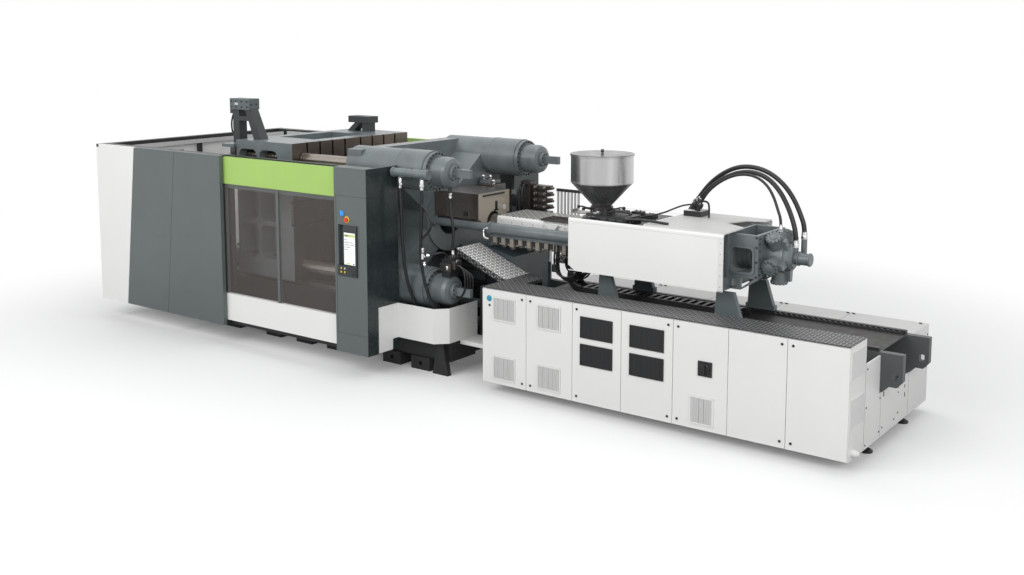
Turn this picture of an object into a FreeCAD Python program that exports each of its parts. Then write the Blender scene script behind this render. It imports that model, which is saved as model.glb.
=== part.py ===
import FreeCAD, Part
import math
import os

# Injection moulding machine with two platens, a clamp unit on the left and an injection unit on the right.
# Millimetres. X runs from the clamp end to the injection end, the operator stands at -Y, Z is up.
# The origin is the centre of the footprint on the floor.

# ---- overall
LENGTH = 12430.0
WIDTH = 3906.0
X_END = LENGTH / 2
Y_SIDE = WIDTH / 2
AXIS_Z = 1927.5

# ---- clamp bed and its guides
BED_INSET = 265.0
BED_LEFT = -X_END + BED_INSET
BED_RIGHT = 420.0
BED_TOP = 840.0
BED_BOTTOM = 180.0
BED_IN = 610.0
BED_OUT = 1130.0
CROSS_PITCH = 1050.0
CROSS_WIDE = 130.0
CROSS_LOW = 220.0
CROSS_TOP = 480.0
FOOT_INSET = 350.0
FOOT_X = (-4940.0, -4500.0, -3960.0, -3030.0, -2370.0, -1730.0, -620.0, -95.0)
FOOT_WIDE = 330.0
FOOT_IN = 800.0
FOOT_OUT = 1170.0
FOOT_HOLE_DEEP = 130.0
GUSSET_LEFT = 150.0
GUSSET_SLOPE = 80.0
GUSSET_RISE = 240.0
GUSSET_OUT = 70.0
SADDLE_LONG = 100.0
SADDLE_HALF = 90.0
SADDLE_AT = (150.0, 250.0)
SADDLE_ARM = 40.0
FOOT_HOLE_R = 28.0
GUIDE_IN = 880.0
GUIDE_OUT = 1020.0
GUIDE_TALL = 60.0
SLIP = 0.3

# ---- platens and tie bars
BAR_Y = 1020.0
BAR_Z = 794.5
BAR_R = 90.0
BAR_CLEAR = 7.0
GROOVE_PITCH = 56.0
GROOVE_WIDE = 26.0
GROOVE_DEEP = 10.0
GROOVE_COUNT = 14
PLATEN_EDGE = 230.0
PLATEN_HALF = BAR_Y + PLATEN_EDGE
PLATEN_BELOW = BAR_Z + 203.0
PLATEN_ABOVE = BAR_Z + 238.0
FIXED_FACE = -1330.0
FACE_THICK = 260.0
FIXED_DEEP = 845.0
FIXED_BACK = FIXED_FACE + FIXED_DEEP
HUB_BACK = FIXED_BACK - 30.0
RIB_SHORT = 60.0
BOSS_R = 270.0
HUB_R = 500.0
CONE_R = 260.0
LOCATING_R = 125.0
LOCATING_DEEP = 50.0
RIB_WIDE = 400.0
MOVING_FACE = -2450.0
MOVING_DEEP = 1220.0
MOVING_BACK = MOVING_FACE - MOVING_DEEP
SHOE_OVER = 20.0
SHOE_SHORT = 60.0
POCKET_R = 90.0
POCKET_DEEP = 260.0
POCKET_EDGE = 60.0
POCKET_RIB = 70.0
POCKET_FOOT = 280.0
SLOT_WIDE = 32.0
SLOT_DEEP = 45.0
SLOT_STEPS = (170.0, 430.0, 690.0, 950.0)
SLOT_LONG = 520.0
SLOT_SIDE_END = 640.0
MOULD_BOLT_R = 15.0
MOULD_BOLT_Y = 560.0
MOULD_BOLT_Z = 560.0
MOULD_BOLT_DEEP = 90.0

# ---- clamp cylinders
BARREL_R = 275.0
BARREL_LONG = 545.0
BARREL_END = FIXED_BACK + BARREL_LONG
BAR_IN_BARREL = 120.0
FLANGE_R = 262.0
FLANGE_THICK = 60.0
BOLT_CIRCLE_R = 241.0
BOLT_R = 12.0
BOLT_TALL = 18.0
BOLT_COUNT = 24
DOME_R = 206.0
DOME_LONG = 280.0
DOME_EDGE = 70.0
CAP_BOSS_R = 105.0
CAP_BOSS_LONG = 45.0
TAB_LONG = 240.0
TAB_WIDE = 60.0
TAB_TALL = 110.0

# ---- tie bar locks, ejector and platen drive
LOCK_OPEN = 40.0
LOCK_THICK = 112.0
LOCK_GAP = 18.0
LOCK_LEFT = MOVING_BACK - LOCK_GAP - LOCK_THICK
BAR_BEHIND = 100.0
BAR_LEFT = LOCK_LEFT - BAR_BEHIND
LOCK_HALF = 120.0
LOCK_REACH = 200.0
LOCK_CLEAR = 2.0
LOCK_GUIDE = 48.0
GUIDE_HALF = 290.0
GUIDE_OVER = 5.0
TOOTH_WIDE = 20.0
TOOTH_COUNT = 2
EJECTOR_HALF = 330.0
EJECTOR_THICK = 60.0
EJECTOR_GAP = 110.0
EJECTOR_LEFT = MOVING_BACK + EJECTOR_GAP
EJECTOR_ROOM = 60.0
EJECTOR_TRAVEL_ROOM = 120.0
TOP_ROOM_BACK = 200.0
TOP_ROOM_HALF = 560.0
TOP_ROOM_DEEP = 240.0
EJECTOR_PIN_R = 30.0
EJECTOR_PIN_AT = 250.0
EJECTOR_SHORT = 20.0
EJECTOR_ROD_R = 24.0
EJECTOR_ROD_Y = 140.0
DRIVE_Y = 420.0
DRIVE_Z = 590.0
DRIVE_TUBE_R = 62.0
DRIVE_ROD_R = 34.0
DRIVE_END_GAP = 20.0
DRIVE_RIGHT = BED_RIGHT - DRIVE_END_GAP
DRIVE_LONG = 2640.0
DRIVE_LEFT = DRIVE_RIGHT - DRIVE_LONG
DRIVE_CLOSED_END = 40.0
DRIVE_ROD_LONG = 3090.0
LUG_AT = 370.0
LUG_X = MOVING_BACK + LUG_AT
LUG_LONG = 160.0
LUG_HALF = 80.0

# ---- accumulator and valve blocks on the clamp unit
ACCUMULATOR_X = (-320.0, 322.0)
ACCUMULATOR_Y = BAR_Y + 420.0
ACCUMULATOR_RISE = 8.0
ACCUMULATOR_R = 66.0
ACCUMULATOR_CLAMP_X = (-250.0, 10.0)
VALVE_X = (250.0, 395.0)
VALVE_Y = (930.0, 1110.0)
VALVE_TOP = 1560.0
VALVE_HEAD_X = (290.0, 430.0)
VALVE_HEAD_Z = (1470.0, 1600.0)
HOSE_BLOCK_X = (-130.0, 285.0)
HOSE_BLOCK_Y = 1300.0
HOSE_BLOCK_Z = (660.0, 800.0)
STACK_X = (230.0, 400.0)
STACK_Y = (700.0, 860.0)
STACK_TOP = 2430.0
STACK_VALVE_X = (440.0, 700.0)
STACK_VALVE_Y = (730.0, 850.0)
STACK_VALVE_TALL = 62.0
STACK_PITCH = 92.0
STACK_COUNT = 5
STACK_FOOT = 40.0
CHUTE_X = (450.0, 950.0)
CHUTE_Y = (-380.0, 430.0)
CHUTE_TOP = 1650.0
CHUTE_SLOPE = 100.0
CHUTE_SIDE = 50.0
CHUTE_SHEET = 10.0
STACK_SPINE_X = (400.0, 620.0)
STACK_SPINE_Y = (760.0, 820.0)
FITTING_R = 24.0

# ---- hose towers on the moving platen
TOWER_BEHIND = 260.0
TOWER_POST = 140.0
TOWER_IN = 930.0
TOWER_OUT = 1080.0
TOWER_HEAD = (-290.0, 140.0)
TOWER_HEAD_OVER = 30.0
TOWER_TOP = 3565.0
TOWER_HEAD_TALL = 165.0
TOWER_HEAD_LOW = TOWER_TOP - TOWER_HEAD_TALL
TOWER_STUB = (-360.0, -230.0)
TOWER_STUB_Z = (TOWER_HEAD_LOW - 70.0, TOWER_HEAD_LOW + 50.0)
TOWER_TIE = (-230.0, 110.0)
TOWER_TIE_Z = (TOWER_HEAD_LOW - 170.0, TOWER_HEAD_LOW - 100.0)
TOWER_BRACE_TOP = (10.0, 140.0)
TOWER_BRACE_FOOT = (200.0, 360.0)
LOW_TOWER_IN = 920.0
LOW_TOWER_BRACE_FOOT = (200.0, 340.0)
LOW_TOWER_BRACE_TOP = (370.0, 490.0)
LOW_TOWER_POST = (530.0, 670.0)
LOW_TOWER_HEAD = (250.0, 710.0)
LOW_TOWER_RISE = 140.0
LOW_TOWER_HEAD_LOW = AXIS_Z + PLATEN_ABOVE + LOW_TOWER_RISE
LOW_TOWER_HEAD_TALL = 105.0

# ---- guards
GUARD_LOW = 300.0
GUARD_TOP = 2800.0
SHEET_BOX = 60.0
WALL_X = -X_END + SHEET_BOX
GUARD_RIGHT = -3220.0
BORDER_LOW = -X_END + 677.0
BORDER_TOP = -X_END + 982.0
SEAM_LOW = -X_END + 1695.0
SEAM_TOP = -X_END + 1965.0
SEAM_GAP = 6.0
RAIL_TALL = 45.0
GATE_INSET = 80.0
GATE_THICK = 60.0
GATE_OUT = Y_SIDE - GATE_INSET
GATE_IN = GATE_OUT - GATE_THICK
TRACK_GAP = 5.0
TRACK_WIDE = 60.0
TRACK_TALL = 100.0
TRACK_IN = GATE_IN - TRACK_GAP - TRACK_WIDE
FLANGE_TOP = 15.0
FLANGE_LOW = 50.0
SILL_TALL = 60.0
POST_WIDE = 68.0
POST_AT = (WALL_X + POST_WIDE / 2 + 1, -4400.0, GUARD_RIGHT - 40.0)
ARM_WIDE = 80.0
COLUMN_ARM = (26.0, 286.0)
REAR_PANEL_COUNT = 3
GATE_LEFT = -3280.0
GATE_RIGHT = -932.0
GATE_LOW = 370.0
GATE_SILL = 770.0
GATE_HEAD = 2390.0
GATE_TOP = 2780.0
PANE_THICK = 6.0
PANE_BACK = GATE_OUT - 10.0
PANE_EDGE = 30.0
STILE_LEFT = 70.0
STILE_RIGHT = 50.0
HANGER_AT = (200.0, 320.0)
HANGER_WIDE = 120.0
HANGER_LAP = 60.0
HANGER_IN = 14.0
HANGER_BACK = 12.0
MULLION_X = -2120.0
MULLION_WIDE = 46.0

# ---- control column
COLUMN_LEFT = -926.0
COLUMN_RIGHT = -340.0
COLUMN_SETBACK = 28.0
COLUMN_DEEP = 205.0
COLUMN_FRONT = Y_SIDE - COLUMN_SETBACK
COLUMN_BACK = COLUMN_FRONT - COLUMN_DEEP
COLUMN_SEAM_Z = (560.0, 2420.0)
COLUMN_SEAM_LEFT = 36.0
COLUMN_SEAM_BACK = 70.0
SIDE_PANEL_IN = BAR_Y + BARREL_R + 20.0
SIDE_PANEL_THICK = 40.0
PANEL_LEFT = -860.0
PANEL_RIGHT = -505.0
PANEL_LOW = 1350.0
PANEL_TOP = 2035.0
PANEL_DEEP = 70.0
PANEL_PROUD = 18.0
UNIT_PROUD = 4.0
UNIT_TAPER = 16.0
SCREEN_PROUD = 6.0
SCREEN_SIDE = 16.0
SCREEN_DEEP = 26.0
UNIT_LEFT = -752.0
KEYBOARD_TOP = 1490.0
SCREEN_WIDE = 214.0
SCREEN_LOW = 1505.0
SCREEN_TOP = 1945.0
STOP_X = -696.0
STOP_Z = 2108.0
STOP_R = 32.0
STOP_HEAD = 16.0
STOP_STEM_R = 20.0
BUTTON_SEAT = 4.0
BUTTON_TRAVEL_ROOM = 12.0
START_X = -777.0
START_Z = 2190.0
START_HALF = 30.0
START_PROUD = 14.0
KEY_X = (-790.0, -725.0)
KEY_Z = (1452.0, 1402.0)
KEY_R = 13.0
KEY_PROUD = 8.0
KEY_SEAT = 3.0
KEY_DEEP = 8.0
SEAM_WIDE = 6.0
SEAM_DEEP = 6.0

# ---- covers beside the fixed platen and the service platform
SKIRT_THICK = 12.0
SKIRT_FRONT = 1347.0
SKIRT_LOW = 455.0
SKIRT_TOP = 930.0
SKIRT_RIGHT = 450.0
SKIRT_BEVEL = 150.0
SKIRT_END = 600.0
SKIRT_FACE_LOW = 310.0
SKIRT_FACE_IN = 110.0
SKIRT_HANGER = (60.0, 140.0)
SKIRT_HANGER_TALL = 60.0
STEP_TALL = 55.0
STEP_GAP = 13.0
TREAD = 8.0
RAMP_IN = 390.0
RAMP_OUT = 900.0
RAMP_X = 330.0
RAMP_TOP = 1690.0
RAMP_LIP = 70.0
RAMP_SHEET = 6.0
RAMP_FOOT = 60.0
RAMP_FACE = 200.0
LANDING_LONG = 330.0
LANDING_GAP = 60.0
PLATFORM_LEFT = -60.0
PLATFORM_RIGHT = 1150.0
PLATFORM_IN = 500.0
PLATFORM_OUT = 960.0
PLATFORM_TOP = 1910.0
PLATFORM_TALL = 130.0
PLATFORM_LEG = 60.0
PLATFORM_LEG_X = (560.0, 1050.0)
PLATFORM_LEG_IN = 20.0
PLATFORM_TIE_Z = (900.0, 960.0)
RAILING_X = (790.0, 1230.0)
RAILING_Y = (800.0, 830.0)
RAILING_TOP = 2350.0
RAILING_BAR = 40.0
RAILING_PITCH = 58.0
RAILING_POST = 24.0

# ---- purge guard round the nozzle end of the barrel
PURGE_RIGHT = 273.0
PURGE_Y = (-350.0, 370.0)
PURGE_LOW = 1930.0
PURGE_TOP = 2350.0
PURGE_SHEET = 8.0
PURGE_BARREL_CLEAR = 30.0
PURGE_ROD_CLEAR = 4.0

# ---- injection base
BASE_LEFT = 1182.0
NOSE_LONG = 245.0
BASE_RIGHT = X_END - NOSE_LONG
BASE_LOW = 130.0
CABINET_FRONT = 1417.0
CABINET_BACK = 947.0
CABINET_TOP = 1370.0
DOOR_COUNT = 7
DOOR_THICK = 20.0
DOOR_GAP = 6.0
DOOR_LOW = 142.0
DOOR_TOP = 1352.0
SWITCH_DOOR = 5
SWITCH_ASIDE = 65.0
SWITCH_Z = 850.0
SWITCH_HALF = 85.0
SWITCH_PLATE = 14.0
SWITCH_HUB_R = 34.0
SWITCH_REACH = 60.0
SWITCH_VENT_ASIDE = 30.0
SWITCH_VENT = (300.0, 320.0, 6)
SMALL_VENT = (345.0, 305.0, 7)
SMALL_VENT_Z = (200.0, 960.0)
WIDE_VENT = (440.0, 250.0, 7)
WIDE_VENT_Z = (610.0, 945.0)
VENT_PROUD = 6.0
VENT_EDGE = 20.0
LATCH_INSET = 60.0
LATCH_END = 70.0
LATCH_R = 15.0
LATCH_PROUD = 5.0
WALL = 20.0
BEAM_IN = 410.0
BEAM_OUT = 500.0
BEAM_LOW = 300.0
BEAM_TOP = 1110.0
NOSE_LOW = 670.0
NOSE_RISE = 140.0
NOSE_STEPS = (50.0, 120.0, 60.0)
CROSS_X = (500.0, 1500.0, 2600.0, 3700.0, 4800.0, BASE_RIGHT - 170.0)
BASE_CROSS_WIDE = 120.0
BASE_CROSS_Z = (380.0, 760.0)
LIFT_HOLE_X = X_END - 80.0
LIFT_HOLE_Z = 865.0
LIFT_HOLE_WIDE = 65.0
LIFT_HOLE_TALL = 83.0
LIFT_HOLE_EDGE_R = 14.0
REAR_BACK = 1200.0
REAR_TOP = 1080.0
RAIL_HALF = 30.0
RAIL_Z = 40.0
RAIL_LEFT = 1250.0
RAIL_RIGHT = BASE_RIGHT - 30.0
RACK_WIDE = 30.0
RACK_TALL = 34.0
RACK_TOOTH = 12.0
RACK_PITCH = 70.0
RACK_LEFT = 3400.0
LEVEL_X = (1500.0, 3700.0, BASE_RIGHT - 90.0)
LEVEL_ARM = 60.0
LEVEL_Y = 600.0
LEVEL_R = 75.0
LEVEL_STEM_R = 20.0
GLAND_Y = 1290.0
GLAND_Z = 210.0

# ---- injection unit
NOZZLE_TIP = -1270.0
NOZZLE_R = 28.0
SCREW_BARREL_R = 120.0
SCREW_BORE_R = 60.0
SCREW_R = SCREW_BORE_R - SLIP
SCREW_CORE_R = 42.0
NOZZLE_LONG = 260.0
ADAPTER_X = -900.0
ADAPTER_R = 78.0
BARREL_FRONT = -700.0
BARREL_COVER_X = 480.0
BARREL_COVER_HALF = 190.0
BARREL_COVER_LOW = 1750.0
BARREL_COVER_TOP = 2057.0
BARREL_COVER_BACK = 480.0
BARREL_COVER_HEM = 110.0
PULL_Y = 350.0
PULL_DROP = 20.0
PULL_TUBE_R = 76.0
PULL_ROD_R = 60.0
PULL_HEAD_R = 88.0
PULL_HEAD_LONG = 45.0
PULL_STRIP_HALF = 60.0
PULL_STRIP_DROP = 20.0
PULL_STRIP_THICK = 8.0
PULL_ROD_SHORT = 300.0
PULL_BORE_SHORT = 280.0
PULL_COLLAR_LONG = 60.0
PULL_COLLAR_R = 80.0
HOUSING_LEFT = 4050.0
HOUSING_LONG = 400.0
HOUSING_RIGHT = HOUSING_LEFT + HOUSING_LONG
COVER_LEFT = 1990.0
COVER_OVER = 100.0
COVER_RIGHT = HOUSING_LEFT + COVER_OVER
COVER_HALF = 680.0
COVER_LOW = 1560.0
COVER_TOP = 2250.0
COVER_THICK = 15.0
COVER_EDGE_R = 40.0
HOSE_FOOT_X = (3130.0, 3370.0)
HOSE_FOOT_Y = (250.0, 500.0)
HOSE_FOOT_TALL = 70.0
SOCKET_LONG = 210.0
SHEATH_EDGE_R = 50.0
SHEATH_SHEET = 8.0
SHEATH_SHORT = 130.0
SHEATH_END = 12.0
ROOF_LEFT = 3070.0
SHOE_X = ((2300.0, 2620.0), (HOUSING_LEFT - 110.0, HOUSING_LEFT + 270.0))
DECK_CROSS = (60.0, 160.0)
CHAIN_TURN_RUNGS = 7
SHOE_HALF = 45.0
SHOE_TALL = 60.0
LEG_HALF = 35.0
LEG_SLANT = 120.0
RUNNER_AHEAD = 250.0
RUNNER_INSET = 90.0
RUNNER_WIDE = 200.0
CHAIN_Y = (-20.0, 220.0)
CHAIN_X = 1740.0
CHAIN_LOW_END = 4100.0
CHAIN_TALL = 80.0
CHAIN_SIDE = 22.0
CHAIN_PITCH = 110.0
CHAIN_RUNG = 46.0
CHAIN_RUNG_THICK = 16.0
TRAY_LEFT = 1300.0
TRAY_THICK = 10.0
POST_X = (1400.0, 1490.0)
POST_WIDE = 70.0
POST_TOP = 1550.0
JUNCTION_X = (2340.0, 2800.0)
JUNCTION_Y = (-600.0, -240.0)
JUNCTION_Z = (2180.0, 2290.0)
JUNCTION_POST_Y = (-560.0, -500.0)
JUNCTION_CAP_R = 45.0
COVER_BACK_DROP = 300.0
DECK_LOW = 1520.0
DECK_TALL = 90.0
DECK_HALF = 560.0
HOUSING_HALF = 440.0
HOUSING_PLATE = 40.0
HOUSING_LOW = 1700.0
HOUSING_TOP = 2215.0
YOKE_INSET = 60.0
YOKE_WINDOW_LOW = 65.0
YOKE_WINDOW_TOP = 160.0
YOKE_RIM_WIDE = 26.0
YOKE_RIM_PROUD = 16.0
YOKE_BRACKET_X = (50.0, 185.0)
YOKE_BRACKET_DROP = 150.0
YOKE_BRACKET_HOLE = (78.0, 130.0, 100.0, 14.0)
BEARING_R = 200.0
BEARING_LONG = 210.0
BEARING_GROOVES = (60.0, 120.0)
BEARING_GROOVE = 26.0
INJECT_Y = 330.0
INJECT_R = 95.0
INJECT_ROD_R = 45.0
INJECT_TUBE_AT = 360.0
CROSSHEAD_LONG = 60.0
CROSSHEAD_HALF = 120.0
CROSSHEAD_CLEAR = 10.0
MOTOR_R = 190.0
MOTOR_LONG = 210.0
LOBE_FOOT = 117.0
LOBE_LONG = 170.0
LOBE_HEAD = 40.0
LOBE_R = 104.0
LOBE_COUNT = 5
LOBE_BOLTS = 12
LOBE_BOLT_R = 18.0
MOTOR_END = HOUSING_RIGHT + 495.0
VALVE_R = 170.0
RIB_REACH = 285.0
RIB_HALF = 62.0
RIB_NOSE_HALF = 30.0
RIB_PROUD = 46.0
SPINDLE_R = 55.0
SPINDLE_STROKE = 350.0
SPINDLE_REST = 20.0
SPINDLE_IN = 140.0
SPINDLE_HUB_R = 120.0
SPINDLE_HUB_LONG = 160.0
SCREW_TIP = 60.0
FLIGHT_PITCH = 480.0
FLIGHT_WIDE = 18.0
HOPPER_X = 2062.0
HOPPER_R = 410.0
HOPPER_TOP = 2990.0
HOPPER_KNEE = 2625.0
HOPPER_NECK_R = 117.0
HOPPER_NECK_Z = 2310.0
HOPPER_WALL = 6.0
HOPPER_FLANGE_R = 160.0
HOPPER_FLANGE = 16.0
HOPPER_RIM = 12.0
THROAT_TOP = 2190.0
THROAT_HALF = 180.0
FEED_R = 60.0
SLIDE_THICK = 14.0
SLIDE_ROOM = SLIDE_THICK + 2.0
SLIDE_HALF = 100.0
SLIDE_SPAN = (-420.0, 190.0)
SLIDE_GRIP = 20.0
THROAT_PLATE = 20.0
THROAT_PLATE_HALF = 150.0
THROAT_CHEEK = 18.0
HOPPER_BASE = THROAT_TOP + SLIDE_ROOM + THROAT_PLATE
LID_THICK = 10.0
LID_R = 418.0
KNOB_R = 14.0
KNOB_TALL = 56.0

# ---- hoses: routes from one fitting to the other
MOTOR_HOSE_R = (17.0, 29.0, 29.0)
MOTOR_HOSES = (
    ((3330, 300, 2400), (3425, 272, 2545), (3555, 235, 2665), (3715, 188, 2765), (3890, 133, 2838),
     (4070, 78, 2866), (4240, 25, 2845), (4385, -24, 2765), (4485, -60, 2640), (4552, -84, 2490),
     (4600, -100, 2385), (4600, -100, 2275)),
    ((3297, 375, 2459), (3400, 349, 2580), (3547, 310, 2698), (3725, 265, 2800), (3930, 213, 2872),
     (4144, 156, 2890), (4345, 104, 2830), (4500, 64, 2705), (4612, 35, 2550), (4695, 15, 2380),
     (4750, 0, 2215), (4750, 0, 2090)),
    ((3213, 447, 2427), (3320, 426, 2570), (3465, 397, 2715), (3640, 361, 2835), (3830, 322, 2915),
     (4017, 284, 2938), (4200, 247, 2918), (4375, 212, 2850), (4535, 178, 2735), (4655, 155, 2590),
     (4742, 137, 2430), (4802, 124, 2290), (4802, 124, 2180)),
)
PLATEN_HOSE_R = (22.0, 22.0, 19.0)
PLATEN_HOSES = (
    ((-180, -1440, 2560), (-180, -1440, 2390), (-166, -1434, 2170), (-172, -1424, 1940),
     (-162, -1414, 1700), (-154, -1400, 1470), (-130, -1374, 1260), (-106, -1332, 1090),
     (-84, -1288, 960), (-72, -1264, 880), (-72, -1264, 800)),
    ((198, -1440, 2560), (198, -1440, 2380), (182, -1432, 2160), (162, -1424, 1930),
     (148, -1414, 1700), (152, -1400, 1470), (180, -1374, 1260), (214, -1332, 1090),
     (244, -1288, 960), (262, -1264, 880), (262, -1264, 800)),
    ((330, -1020, 2420), (330, -1020, 2310), (344, -1026, 2190), (368, -1024, 2070),
     (384, -1020, 1950), (376, -1020, 1830), (370, -1020, 1725), (370, -1020, 1630)),
)

V = FreeCAD.Vector
SIDES = (-1, 1)


# ---- shared shapes
def box(x0, x1, y0, y1, z0, z1):
    return Part.makeBox(abs(x1 - x0), abs(y1 - y0), abs(z1 - z0),
                        V(min(x0, x1), min(y0, y1), min(z0, z1)))


def side_box(side, x0, x1, y0, y1, z0, z1):
    return box(x0, x1, side * y0, side * y1, z0, z1)


def rod_x(x0, x1, y, z, r):
    return Part.makeCylinder(r, x1 - x0, V(x0, y, z), V(1, 0, 0))


def rod_y(x, y0, y1, z, r):
    return Part.makeCylinder(r, abs(y1 - y0), V(x, min(y0, y1), z), V(0, 1, 0))


def rod_z(x, y, z0, z1, r):
    return Part.makeCylinder(r, abs(z1 - z0), V(x, y, min(z0, z1)), V(0, 0, 1))


def fuse(shapes):
    whole = shapes[0].multiFuse(shapes[1:]) if len(shapes) > 1 else shapes[0]
    return whole.removeSplitter()


def cut(shape, tools):
    return shape.cut(Part.makeCompound(tools)) if tools else shape


def prism(points, along):
    """A straight prism: the closed outline moved by a vector."""
    return Part.Face(Part.makePolygon(points + [points[0]])).extrude(along)


def prism_xz(points, y0, y1):
    return prism([V(x, y0, z) for x, z in points], V(0, y1 - y0, 0))


def prism_yz(points, x0, x1):
    return prism([V(x0, y, z) for y, z in points], V(x1 - x0, 0, 0))


def prism_xy(points, z0, z1):
    return prism([V(x, y, z0) for x, y in points], V(0, 0, z1 - z0))


def rounded_box(x0, x1, y0, y1, z0, z1, r, axis):
    """A box whose four edges along one axis are rounded."""
    solid = box(x0, x1, y0, y1, z0, z1)
    edges = [e for e in solid.Edges if abs(abs(e.tangentAt(0).dot(axis)) - 1) < 1e-6]
    return solid.makeFillet(r, edges)


def spin(profile, origin, axis, across):
    """A turned solid: points (along, radius) round the axis."""
    points = [origin + axis * along + across * radius for along, radius in profile]
    return Part.Face(Part.makePolygon(points + [points[0]])).revolve(origin, axis, 360)


def spin_x(profile, y, z):
    return spin(profile, V(0, y, z), V(1, 0, 0), V(0, 0, 1))


def spin_z(profile, x, y):
    return spin(profile, V(x, y, 0), V(0, 0, 1), V(1, 0, 0))


def corners():
    return [(side * BAR_Y, AXIS_Z + up * BAR_Z) for side in SIDES for up in SIDES]


def tube_path(points):
    """Straight runs joined by tangent arcs, each arc as large as its two runs allow."""
    points = [V(*p) for p in points]
    edges = []
    radii = []
    start = points[0]
    for before, corner, after in zip(points, points[1:], points[2:]):
        come, leave = corner - before, after - corner
        half = come.getAngle(leave) / 2
        reach = 0.45 * min(come.Length, leave.Length)
        radii.append(reach / math.tan(half))
        come.normalize()
        leave.normalize()
        first, last = corner - come * reach, corner + leave * reach
        bow = leave - come
        bow.normalize()
        middle = corner + bow * (radii[-1] / math.cos(half) - radii[-1])
        edges.append(Part.LineSegment(start, first).toShape())
        edges.append(Part.Arc(first, middle, last).toShape())
        start = last
    edges.append(Part.LineSegment(start, points[-1]).toShape())
    return Part.Wire(edges), radii


def hose(points, r):
    path, radii = tube_path(points)
    along = V(*points[1]) - V(*points[0])
    ring = Part.Wire([Part.Circle(V(*points[0]), along, r).toShape()])
    tube = path.makePipeShell([ring], True, True)
    print("hose: length %.0f, smallest radius %.0f (%.1f diameters), volume ratio %.4f"
          % (path.Length, min(radii), min(radii) / 2 / r, tube.Volume / (math.pi * r * r * path.Length)))
    return tube


def socket(points, r, long):
    """The fitting that a hose starts from: a short cylinder behind its first point."""
    start = V(*points[0])
    back = start - V(*points[1])
    back.normalize()
    return Part.makeCylinder(r, long, start, back)


# ---- clamp bed
def foot_places():
    """A foot at the bed's left end, and the others as far as they clear it."""
    first = BED_LEFT + FOOT_INSET
    return [first] + [x for x in FOOT_X if x > first + FOOT_WIDE]


def cross_places():
    """Cross members from the right end, evenly spaced, with one at the left end."""
    places = [BED_RIGHT - CROSS_WIDE]
    while places[-1] - CROSS_PITCH > BED_LEFT + CROSS_WIDE:
        places.append(places[-1] - CROSS_PITCH)
    return places + [BED_LEFT]


def bed_foot(side, x):
    foot = side_box(side, x - FOOT_WIDE / 2, x + FOOT_WIDE / 2, FOOT_IN, FOOT_OUT, 0, BED_BOTTOM)
    hole = rod_y(x, side * (FOOT_OUT - FOOT_HOLE_DEEP), side * FOOT_OUT, BED_BOTTOM / 2, FOOT_HOLE_R)
    return foot.cut(hole)


def drive_saddle(side, x):
    """The seat of a drive cylinder, carried by an arm from the side beam."""
    end = x + SADDLE_LONG
    block = side_box(side, x, end, DRIVE_Y - SADDLE_HALF, DRIVE_Y + SADDLE_HALF, CROSS_TOP, DRIVE_Z)
    arm = side_box(side, x, end, DRIVE_Y, BED_IN, CROSS_TOP, CROSS_TOP + SADDLE_ARM)
    return fuse([block, arm]).cut(rod_x(x, x + SADDLE_LONG, side * DRIVE_Y, DRIVE_Z, DRIVE_TUBE_R))


def clamp_bed():
    parts = []
    for side in SIDES:
        parts.append(side_box(side, BED_LEFT, BED_RIGHT, BED_IN, BED_OUT, BED_BOTTOM, BED_TOP))
        parts += [bed_foot(side, x) for x in foot_places()]
        top = BED_BOTTOM + GUSSET_RISE
        gusset = [(GUSSET_LEFT, 0), (BED_RIGHT, 0), (BED_RIGHT - GUSSET_SLOPE, top),
                  (GUSSET_LEFT + GUSSET_SLOPE, top)]
        parts.append(prism_xz(gusset, side * BED_OUT, side * (BED_OUT + GUSSET_OUT)))
        for x in (DRIVE_LEFT + SADDLE_AT[0], BED_RIGHT - SADDLE_AT[1]):
            parts.append(drive_saddle(side, x))
    for x in cross_places():
        parts.append(box(x, x + CROSS_WIDE, -BED_IN, BED_IN, CROSS_LOW, CROSS_TOP))
    return parts


def guide_rails():
    rails = []
    for side in SIDES:
        rails.append(side_box(side, BED_LEFT + 100, FIXED_FACE - 20, GUIDE_IN, GUIDE_OUT,
                              BED_TOP, BED_TOP + GUIDE_TALL))
        middle = (BEAM_IN + BEAM_OUT) / 2
        rails.append(side_box(side, RAIL_LEFT, RAIL_RIGHT, middle - RAIL_HALF, middle + RAIL_HALF,
                              BEAM_TOP, BEAM_TOP + RAIL_Z))
    return rails + [carriage_rack()]


def carriage_rack():
    """A toothed strip on the inner side of the rear rail, which the carriage is driven along."""
    tooth_low, tooth_top = BEAM_TOP + RACK_TALL - RACK_TOOTH, BEAM_TOP + RACK_TALL
    count = int((RAIL_RIGHT - RACK_LEFT) / RACK_PITCH)
    outline = [(RACK_LEFT, BEAM_TOP - RACK_WIDE), (RACK_LEFT, tooth_low)]
    for i in range(count):
        x = RACK_LEFT + i * RACK_PITCH
        outline += [(x + RACK_PITCH * 0.25, tooth_top), (x + RACK_PITCH * 0.5, tooth_top),
                    (x + RACK_PITCH * 0.75, tooth_low), (x + RACK_PITCH, tooth_low)]
    outline.append((RACK_LEFT + count * RACK_PITCH, BEAM_TOP - RACK_WIDE))
    return prism_xz(outline, BEAM_IN - RACK_WIDE, BEAM_IN)


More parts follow.
